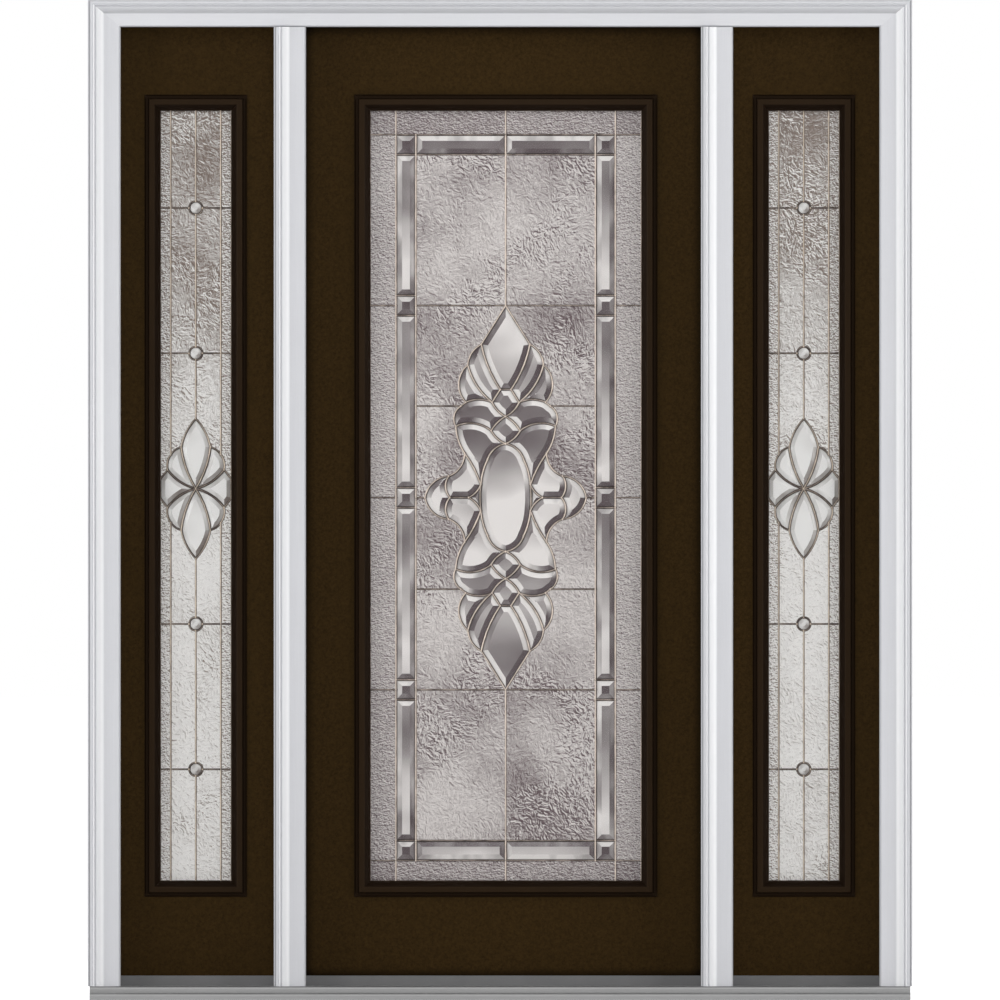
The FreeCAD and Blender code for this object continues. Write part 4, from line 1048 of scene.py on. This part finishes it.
# The moulded board's section: how far in from the outer edge, and how far out from the wall, in
# millimetres. A third number rounds the corner by that share of the radius.
CASING_SECTION = [
    (0, 0), (0, 30.5, 1), (1.2, 32), (2, 32, 1), (2.6, 29.5, 0.5), (3.6, 29.5, 0.5), (4.2, 31, 1),
    (9.6, 31, 1), (10.4, 29.8), (11.2, 30.9, 1), (12.6, 31.2, 1), (14, 29.5, 1), (14.8, 26.5, 0.5),
    (16.4, 26.5, 0.5), (17.2, 28.4, 1), (20, 27.8), (23.5, 26), (26.5, 23.4), (29, 20.6), (31.5, 18.1),
    (33.6, 16.7), (35.6, 16.2), (64, 16, 1), (67.6, 13, 1), (69, 9.5, 1), (69, 0),
]
SECTION_WIDTH, CASING_ROUND = 69, 1.2

# The painted light across the board's section, at distances in from the outer edge: 1 is the painted
# highlight on the cove, 0 the flat and -1 the painted shade in a quirk
STANDING_PAINTED_LIGHT = {0: 0.1, 2.6: -0.7, 4.2: -0.7, 5.5: 0, 10.4: 0, 12.5: 0.95, 14.5: 0.3, 16.5: 0,
                  19: 0.5, 25: 0.65, 29: 1, 31.5: 0.9, 35: 0, 65: 0, 66.5: -0.4, 69: -0.8}
# The head lies level: painted shade on its cove, which faces down
LYING_PAINTED_LIGHT = {0: -0.3, 4: 0.05, 10: -0.1, 22: -0.35, 29: -0.5, 33.6: -0.7, 35.6: 0.1, 65: 0.1, 66.5: -0.2,
               69: -0.8}

# The surround's section: how far in from its outer edge, and how far out from the slab's face
SURROUND_SECTION = [
    (0, 0), (0, 2.0, 1), (0.9, 2.6, 1), (2.0, 1.6), (2.8, 1.0, 1), (7.6, 1.0, 1), (8.6, 8.2, 1),
    (9.8, 10.0, 1), (20.2, 10.0, 1), (21.4, 8.6, 0.6), (22.4, 8.2, 0.6), (26.0, 4.0), (29.4, 1.2, 1),
    (30.2, -1.6, 0.6), (32.4, -2.2, 1), (33.5, -3.4, 1), (33.5, -9.4), (19.5, -9.4), (19.5, 0),
]
SURROUND_ROUND, SURROUND_BACK = 0.9, -9
# How dark the paint looks across it: 0 is the band's own brown and 1 the painted shade in its groove and on
# its slope
SURROUND_SHADES = {0: 0.9, 8: 1, 8.8: 0, 20.5: 0, 21.8: 1, 31: 1, 33.5: 1}
# Edges of a moulding that turn by more degrees than this stay crisp
CRISP_ANGLE = 32


def tone_across(section, tones):
    return list(np.interp([x for x, _ in section], list(tones), list(tones.values())))


class ENTRANCE_OT_casings(bpy.types.Operator):
    """Runs the moulded casings up both sides and over the head, and the covers up the mullions"""

    bl_idname = "entrance.casings"
    bl_label = "Casings and mullion covers"

    def execute(self, context):
        section = rounded(CASING_SECTION, CASING_ROUND, context.scene.entrance_mouldings.bead_steps)
        # Painted light across each board's section: upright boards, and the head that lies level
        standing, lying = (tone_across(section, tones) * 2 for tones in (STANDING_PAINTED_LIGHT, LYING_PAINTED_LIGHT))
        head_low, head_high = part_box("head_casing")
        rise = head_high.z - head_low.z
        left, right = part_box("left_casing")[1].x - head_low.x, head_high.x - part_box("right_casing")[0].x

        def board(name, ends, tones=standing, level=0):
            rings = [lambda x, y, edge=edge, width=width, top=top, fall=fall:
                     (edge + x / SECTION_WIDTH * width, -y * MM, top - x / SECTION_WIDTH * fall)
                     for edge, width, top, fall in ends]
            piece = mesh_piece(f"{name}_board", *swept(section, rings), bpy.data.materials["White Paint"],
                               CRISP_ANGLE, tone=tones, level=[level] * len(tones))
            settle(piece, FRAME_BODY, "frame_white", name)

        for name, out in (("left_casing", 1), ("right_casing", -1)):
            low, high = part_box(name)
            edge, width = (low.x if out > 0 else high.x), out * (high.x - low.x)
            board(name, [(edge, width, low.z, 0), (edge, width, head_high.z, rise)])
        ends = [(head_low.x, left, head_high.z, rise), (head_high.x, -right, head_high.z, rise)]
        board("head_casing", ends, lying, 1)
        for name in ("left_mullion_cover", "right_mullion_cover"):
            low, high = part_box(name)
            board(name, [(low.x, high.x - low.x, level, 0) for level in (low.z, high.z)])
        return {"FINISHED"}


class ENTRANCE_OT_surrounds(bpy.types.Operator):
    """Sweeps the moulded surround round both faces of each lite, mitred at the corners"""

    bl_idname = "entrance.surrounds"
    bl_label = "Lite surrounds"

    def execute(self, context):
        colours = context.scene.entrance_colours
        brown = surround_material(colours.surround_brown, colours.groove_brown)
        section = rounded(SURROUND_SECTION, SURROUND_ROUND, context.scene.entrance_mouldings.bead_steps // 2)
        # Painted shade across the section, full on the part set into the slab
        shades = [value if rise > SURROUND_BACK else 1 for value, (_, rise) in
                  zip(tone_across(section, SURROUND_SHADES), section)]
        for label, body in (("door", DOOR_BODY), ("left", FRAME_BODY), ("right", FRAME_BODY)):
            slab = "door_slab" if label == "door" else f"{label}_sidelight_slab"
            for side, out, corner in (("outer", -1, 0), ("inner", 1, 1)):
                name, face = f"{label}_{side}_lite_frame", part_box(slab)[corner].y
                low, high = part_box(name)
                rings = [lambda inward, rise, x=x, z=z, across=across, up=up:
                         (x + across * inward * MM, face + out * rise * MM, z + up * inward * MM)
                         for x, z, across, up in ((low.x, low.z, 1, 1), (high.x, low.z, -1, 1),
                                                  (high.x, high.z, -1, -1), (low.x, high.z, 1, -1))]
                piece = mesh_piece(f"{label}_{side}_surround", *swept(section, rings, closed=True), brown,
                                   CRISP_ANGLE, shade=shades * 4)
                settle(piece, body, "lite_frame_brown", name)
        return {"FINISHED"}


class ENTRANCE_OT_glazing(bpy.types.Operator):
    """Finishes the clear panes and the spacer bars of the sealed units"""

    bl_idname = "entrance.glazing"
    bl_label = "Sealed units"

    def execute(self, context):
        dress("door_panes left_panes right_panes", clear_material())
        dress("door_spacer left_spacer right_spacer",
              metal_material("Spacer Aluminium", (0.6, 0.59, 0.57), 0.4, (6.0, 700.0, 6.0)))
        return {"FINISHED"}


class ENTRANCE_OT_door_panel(bpy.types.Operator):
    """Makes the door's leaded panel: bevelled cluster, border, textured field and margin"""

    bl_idname = "entrance.door_panel"
    bl_label = "Door's leaded panel"

    def execute(self, context):
        sizes, colours = context.scene.entrance_glass, context.scene.entrance_colours
        surround = context.scene.entrance_mouldings.lite_surround
        panel = LeadedPanel("door", DOOR_BODY, DOOR_RISE * MM)
        low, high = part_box("door_outer_lite_frame")
        outer_width = ((high.x - low.x) / 2 - surround - sizes.margin_width) / MM
        outer_height = ((high.z - low.z) / 2 - surround - sizes.margin_height) / MM
        cluster, names = self.cluster()
        field, leads = self.field(outer_width - sizes.strip_width / MM, outer_height - sizes.strip_width / MM)
        border, kinds, margin, frame_leads = self.border(
            panel, outer_width, outer_height, sizes.strip_width / MM)

        came = came_material("Door Came", colours.came_gold, colours.came_shade_brown, level_shading=0.75)
        panel.make_came(leads + frame_leads + panel.rim(), sizes, came)
        rain, hammered = (textured_glass(name, colours.glass_light, colours.glass_dark)
                          for name in ("Door Rain Glass", "Door Hammered Glass"))
        # The door bevels' painted light and painted shade, and the strength of their slopes' painted flash
        bevel = bevel_material("Door Bevels", (0.86, 0.82, 0.80), (0.072, 0.045, 0.052), depth=2.0, flash=0.6)
        panel.make_bevels("cluster_bevels", cluster, names, bevel, sizes)
        panel.make_bevels("border_bevels", border, kinds, bevel, sizes)
        panel.make_panes("field_glass", field, rain, "watery_glass")
        panel.make_panes("border_glass", margin, hammered, "hammered_glass", lying=-0.15)
        return {"FINISHED"}

    def cluster(self):
        """The cluster's cells and their names."""
        cells, names = [], []
        for name, (plain, swapped, flipped, repeat) in DOOR_PIECES.items():
            for across, up in MIRRORS[repeat]:
                parts = ((plain, across, up), (swapped, -across, up), (flipped, across, -up))
                cells.append(joined(sum((Quarter(DOOR_LINES, *way).lines(part) for part, *way in parts), [])))
                names.append(name)
        oval = Quarter(DOOR_LINES).lines("oval_waist") + Quarter(DOOR_LINES, -1).lines("oval_waist")
        for way in MIRRORS["quarters"]:
            oval += Quarter(DOOR_LINES, *way).lines("oval_crown oval_side")
        return cells + [joined(oval)], names + ["oval"]

    def field(self, half_width, half_height):
        """The field's cells round the cluster, and the lead lines of both."""
        point, tip = DOOR_LINES["wing_top"][-1][0], DOOR_LINES["finial_side"][0][1]
        spring, rail = DOOR_LINES["lobe_outside"][0]
        cells, leads = [], []
        for way in MIRRORS["quarters"]:
            here = Quarter(DOOR_LINES, *way)
            over = here.lines("finial_side petal_top leaf_outside lobe_shoulder")
            under = here.lines("lobe_outside fan_outside drop_top wing_top")
            cells += [joined(lines) for lines in (
                here.path((0, tip), (half_width, tip), (half_width, half_height), (0, half_height), (0, tip)),
                over + here.path((spring, rail), (half_width, rail), (half_width, tip), (0, tip)),
                under + here.path((point, 0), (half_width, 0), (half_width, rail), (spring, rail)))]
            leads += here.lines(" ".join(DOOR_LINES))
            leads += here.path((half_width, rail), (spring, rail)) + here.path((half_width, 0), (point, 0))
        return cells, leads

    def border(self, panel, outer_width, outer_height, strip):
        """The bevelled border's cells and their kinds, the margin's cells, and the lead lines round them."""
        half_width, half_height = outer_width - strip, outer_height - strip
        tip = DOOR_LINES["finial_side"][0][1]
        edge, top, bottom, line = panel.edge, panel.top, panel.bottom, Quarter(DOOR_LINES).path
        upper = [strip / 2, tip - strip / 2, tip + strip / 2, half_height, outer_height]
        rows = [-level for level in reversed(upper)] + upper
        levels = [bottom, -outer_height, -tip, 0, tip, outer_height, top]
        border, kinds, margin, leads = [], [], [], []
        for side in (-1, 1):
            border += stacked(*sorted((side * half_width, side * outer_width)), rows)
            kinds += ["square" if b - a < strip * 1.01 else "strip" for a, b in zip(rows, rows[1:])]
            kinds += ["rail"] * 2
            for a, b in ((-half_width, 0), (0, half_width)):
                border += stacked(a, b, sorted((side * half_height, side * outer_height)))
            margin += stacked(*sorted((side * outer_width, side * edge)), levels)
            leads += line((side * outer_width, bottom), (side * outer_width, top))
            leads += line((side * half_width, -outer_height), (side * half_width, outer_height))
            for near, far, rails in ((half_width, outer_width, rows[1:-1]),
                                     (outer_width, edge, (-tip, 0, tip))):
                for level in rails:
                    leads += line((side * near, level), (side * far, level))
        for near, far in ((bottom, -outer_height), (outer_height, top)):
            margin += stacked(-outer_width, 0, (near, far)) + stacked(0, outer_width, (near, far))
        for level in (-outer_height, outer_height):
            leads += line((-edge, level), (edge, level))
        for side in (-1, 1):
            leads += line((-half_width, side * half_height), (half_width, side * half_height))
            leads += line((-half_width, side * tip), (half_width, side * tip))
            leads += line((0, side * tip), (0, top if side > 0 else bottom))
        return border, kinds, margin, leads


class ENTRANCE_OT_side_panels(bpy.types.Operator):
    """Makes both sidelights' leaded panels, with a cluster and four jewels in each"""

    bl_idname = "entrance.side_panels"
    bl_label = "Sidelights' leaded panels"

    def execute(self, context):
        sizes, colours = context.scene.entrance_glass, context.scene.entrance_colours
        came = came_material("Sidelight Came", colours.side_came_gold, colours.came_shade_brown, level_shading=2.6)
        rain, hammered = (textured_glass(name, colours.side_glass_light, colours.side_glass_dark)
                          for name in ("Sidelight Rain Glass", "Sidelight Hammered Glass"))
        # The sidelight bevels' painted light and painted shade, and the strength of their slopes' painted
        # flash
        bevel = bevel_material("Sidelight Bevels", (0.97, 0.96, 0.94), (0.2, 0.16, 0.14), depth=1.0,
                               flash=0.24)
        names = ["petals"] * 2 + ["lobes"] * 4 + ["fans"] * 2
        for label in ("left", "right"):
            panel = LeadedPanel(label, FRAME_BODY, SIDE_RISE * MM)
            cluster, rounds, field, margin, leads = self.drawing(panel, sizes)
            panel.make_came(leads, sizes, came)
            panel.make_bevels("bevels", cluster, names, bevel, sizes, width=0.8, jewels=rounds)
            panel.make_panes("field_glass", field, rain, "watery_glass")
            panel.make_panes("border_glass", margin, hammered, "hammered_glass")
        return {"FINISHED"}

    def drawing(self, panel, sizes):
        """The panel's cells and lead lines."""
        column, radius = sizes.side_column / MM, sizes.jewel_radius / MM
        rail, outer_rail = sizes.side_rail / MM, sizes.side_outer_rail / MM
        meet, fan = SIDE_LINES["lobe_outside"][0], SIDE_LINES["lobe_foot"][0]
        tip, fan_end, edge = SIDE_LINES["petal_top"][0][1], fan[1] / 2, panel.edge
        slant = radius * math.sqrt(0.5)
        quarters = [Quarter(SIDE_LINES, *way) for way in MIRRORS["quarters"]]
        upper_right, upper_left, lower_right, lower_left = quarters

        def notch(here, level, side):
            return [here.line([(0, level + side * radius), (slant, level + side * slant), (radius, level)])]

        cluster = [joined(right.lines("petal_top petal_foot") + left.lines("petal_top petal_foot"))
                   for right, left in ((upper_right, upper_left), (lower_right, lower_left))]
        cluster += [joined(here.lines("petal_foot lobe_shoulder lobe_outside lobe_foot"))
                    for here in quarters]
        for upper, lower in ((upper_right, lower_right), (upper_left, lower_left)):
            cluster.append(joined(upper.lines("lobe_foot") + lower.lines("lobe_foot") + upper.path(
                fan, (edge, fan_end), (edge, -fan_end), (fan[0], -fan[1]))))
        leads, field, margin = [], [], []
        for here in quarters:
            end = panel.top if here.up > 0 else -panel.bottom
            field += [joined(lines) for lines in (
                here.path((radius, outer_rail), (column, outer_rail), (column, end), (0, end),
                          (0, outer_rail + radius)) + notch(here, outer_rail, 1),
                here.path((radius, rail), (column, rail), (column, outer_rail), (radius, outer_rail))
                + here.path((0, outer_rail - radius), (0, rail + radius))
                + notch(here, rail, 1) + notch(here, outer_rail, -1),
                here.path(meet, (column, rail), (radius, rail)) + here.path((0, rail - radius), (0, tip))
                + here.lines("petal_top lobe_shoulder") + notch(here, rail, -1))]
            margin += [joined(here.path((column, a), (edge, a), (edge, b), (column, b), (column, a)))
                       for a, b in ((outer_rail, end), (rail, outer_rail))]
            margin.append(joined(here.path(fan, (edge, fan_end), (edge, rail), (column, rail), meet)
                                 + here.lines("lobe_outside")))
            leads += here.lines(" ".join(SIDE_LINES))
            leads += here.path(meet, (column, end)) + here.path(fan, (edge, fan_end))
            leads += here.path((0, tip), (0, rail - radius))
            leads += here.path((0, rail + radius), (0, outer_rail - radius))
            leads += here.path((0, outer_rail + radius), (0, end))
            for level in (rail, outer_rail):
                leads += here.path((radius, level), (edge, level))
                leads += notch(here, level, 1) + notch(here, level, -1)
        return cluster, [-outer_rail, -rail, rail, outer_rail], field, margin, leads + panel.rim()


# Where a leaf's screws are: shares of its height and of its width
SCREW_PLACES = ((0.14, 0.62), (0.38, 0.3), (0.62, 0.3), (0.86, 0.62))
# A screw head's radius, and half the side of the small square that a screw is set on
SCREW_RADIUS, SCREW_PATCH = 0.0042, 0.0002
# How deep the knuckles are at a leaf's inner end, the least gap between leaves and a leaf's most height
KNUCKLE_REACH, LEAF_GAP, LEAF_HEIGHT = 0.016, 0.15, 0.12


class ENTRANCE_OT_screws(bpy.types.Operator):
    """Sets the screws in the hinge leaves"""

    bl_idname = "entrance.screws"
    bl_label = "Hinge screws"

    def execute(self, context):
        metal, tree, reach = bpy.data.materials["Hinge Steel"], screw_tree(), SCREW_PATCH
        for body, node, out in ((FRAME_BODY, "hinge_frame_leaves", 1), (DOOR_BODY, "hinge_door_leaves", -1)):
            vertices, faces = [], []
            for low, high, face in leaf_faces(node, out):
                for share, inset_share in SCREW_PLACES:
                    z, y = low.z + share * (high.z - low.z), low.y + inset_share * (high.y - low.y)
                    quad = tuple(range(len(vertices), len(vertices) + 4))
                    vertices += [(face, y + dy, z + dz) for dy, dz in
                                 ((-reach, -reach), (reach, -reach), (reach, reach), (-reach, reach))]
                    faces.append(quad if out > 0 else quad[::-1])
            source = bpy.data.meshes.new("screw_places")
            source.from_pydata(vertices, [], faces)
            screws = baked_tree(f"{body}_hinge_screws", source, tree, {"Head Radius": SCREW_RADIUS}, metal)
            settle(screws, body, "hinge_steel")
        return {"FINISHED"}


def leaf_faces(node, out):
    """Each leaf's flat plate: its lowest and highest corners, and the plane of its open face."""
    points = np.array([tuple(v.co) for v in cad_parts[node].data.vertices])
    plate = points[points[:, 1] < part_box(node)[1].y - KNUCKLE_REACH]
    face = plate[:, 0].max() if out > 0 else plate[:, 0].min()
    levels = sorted(set(np.round(plate[:, 2], 4)))
    starts = [z for index, z in enumerate(levels) if index == 0 or z - levels[index - 1] > LEAF_GAP]
    for start in starts:
        group = plate[(plate[:, 2] >= start - 1e-4) & (plate[:, 2] < start + LEAF_HEIGHT)]
        yield Vector(group.min(0)), Vector(group.max(0)), float(face)


def seen_rays(tree):
    """1 for what the camera sees, by itself, through glass or in a reflection, and 0 for light."""
    rays = put(tree, "ShaderNodeLightPath")
    return rays["Is Camera Ray"].at_least(rays["Is Transmission Ray"]).at_least(rays["Is Glossy Ray"])


class ENTRANCE_OT_stage(bpy.types.Operator):
    """Sets up the floor, the backdrop, the lamps and the camera"""

    bl_idname = "entrance.stage"
    bl_label = "Studio"

    def execute(self, context):
        scene, studio = context.scene, context.scene.entrance_studio
        camera = bpy.data.cameras.new("Camera")
        camera.lens, camera.clip_end = studio.lens, 600
        distance = studio.sight_width / camera.sensor_width * studio.lens
        scene.camera = placed("Camera", camera)
        scene.camera.location = (0, -distance, studio.sight_width / 2)
        scene.camera.rotation_euler = (math.pi / 2, 0, 0)

        for name, place, power in (("left_lamp", (-4.6, -2.4, 1.7), studio.side_lamp),
                                   ("right_lamp", (4.6, -2.4, 1.7), studio.side_lamp),
                                   ("front_lamp", (0, -4.5, 3.4), studio.front_lamp),
                                   ("back_lamp", (0.6, 3.6, 3.0), studio.front_lamp)):
            data = bpy.data.lights.new(name, "AREA")
            data.energy, data.size = power, 3.0
            lamp = placed(name, data)
            lamp.location = place
            lamp.rotation_euler = (Vector((0, 0, 1.05)) - Vector(place)).to_track_quat("-Z", "Y").to_euler()

        scene.world = bpy.data.worlds.new("Studio World")
        scene.world.use_nodes = True
        tree = scene.world.node_tree
        background = Sockets(tree.nodes["Background"].inputs)
        background["Color"] = (1, 1, 1, 1)
        background["Strength"] = seen_rays(tree).line(1.0 - studio.room_light, studio.room_light)

        material = bpy.data.materials.new("Studio Floor")
        material.use_nodes = True
        tree = material.node_tree
        tree.nodes.clear()
        matt = put(tree, "ShaderNodeBsdfDiffuse", {"Color": (0.8, 0.8, 0.8, 1)})[0]
        glow = put(tree, "ShaderNodeEmission", {"Strength": seen_rays(tree) * studio.floor_glow})[0]
        both = put(tree, "ShaderNodeAddShader", {0: matt, 1: glow})[0]
        put(tree, "ShaderNodeOutputMaterial", {"Surface": both})
        reach = studio.floor_reach
        corners = [(-reach, -reach, 0), (reach, -reach, 0), (reach, reach, 0), (-reach, reach, 0)]
        floor = mesh_piece("studio_floor", corners, [(0, 1, 2, 3)], material)
        scene.view_settings.view_transform = "Standard"
        return {"FINISHED"}


# The add-on's panel, and the run as a script

SETTINGS = {
    "entrance_mouldings": MouldingSizes,
    "entrance_glass": LeadedGlassSizes,
    "entrance_colours": FinishColours,
    "entrance_studio": StudioSizes,
}

STEPS = [ENTRANCE_OT_finishes, ENTRANCE_OT_casings, ENTRANCE_OT_surrounds, ENTRANCE_OT_glazing,
         ENTRANCE_OT_door_panel, ENTRANCE_OT_side_panels, ENTRANCE_OT_screws, ENTRANCE_OT_stage]


class ENTRANCE_PT_panel(bpy.types.Panel):
    """Lists the steps, and the sizes and colours they read"""

    bl_idname = "ENTRANCE_PT_panel"
    bl_label = "Door with Sidelights"
    bl_space_type = "VIEW_3D"
    bl_region_type = "UI"
    bl_category = "Entrance"

    def draw(self, context):
        for step in STEPS:
            self.layout.operator(step.bl_idname)
        for name, group in SETTINGS.items():
            box = self.layout.box()
            for key in group.__annotations__:
                box.prop(getattr(context.scene, name), key)


def register():
    for kind in [*SETTINGS.values(), *STEPS, ENTRANCE_PT_panel]:
        bpy.utils.register_class(kind)
    for name, group in SETTINGS.items():
        setattr(bpy.types.Scene, name, PointerProperty(type=group))


def unregister():
    for name in SETTINGS:
        delattr(bpy.types.Scene, name)
    for kind in [ENTRANCE_PT_panel, *STEPS, *SETTINGS.values()]:
        bpy.utils.unregister_class(kind)


def main():
    register()
    bpy.ops.entrance.finishes()
    bpy.ops.entrance.casings()
    bpy.ops.entrance.surrounds()
    bpy.ops.entrance.glazing()
    bpy.ops.entrance.door_panel()
    bpy.ops.entrance.side_panels()
    bpy.ops.entrance.screws()
    bpy.ops.entrance.stage()


if __name__ == "__main__":
    main()
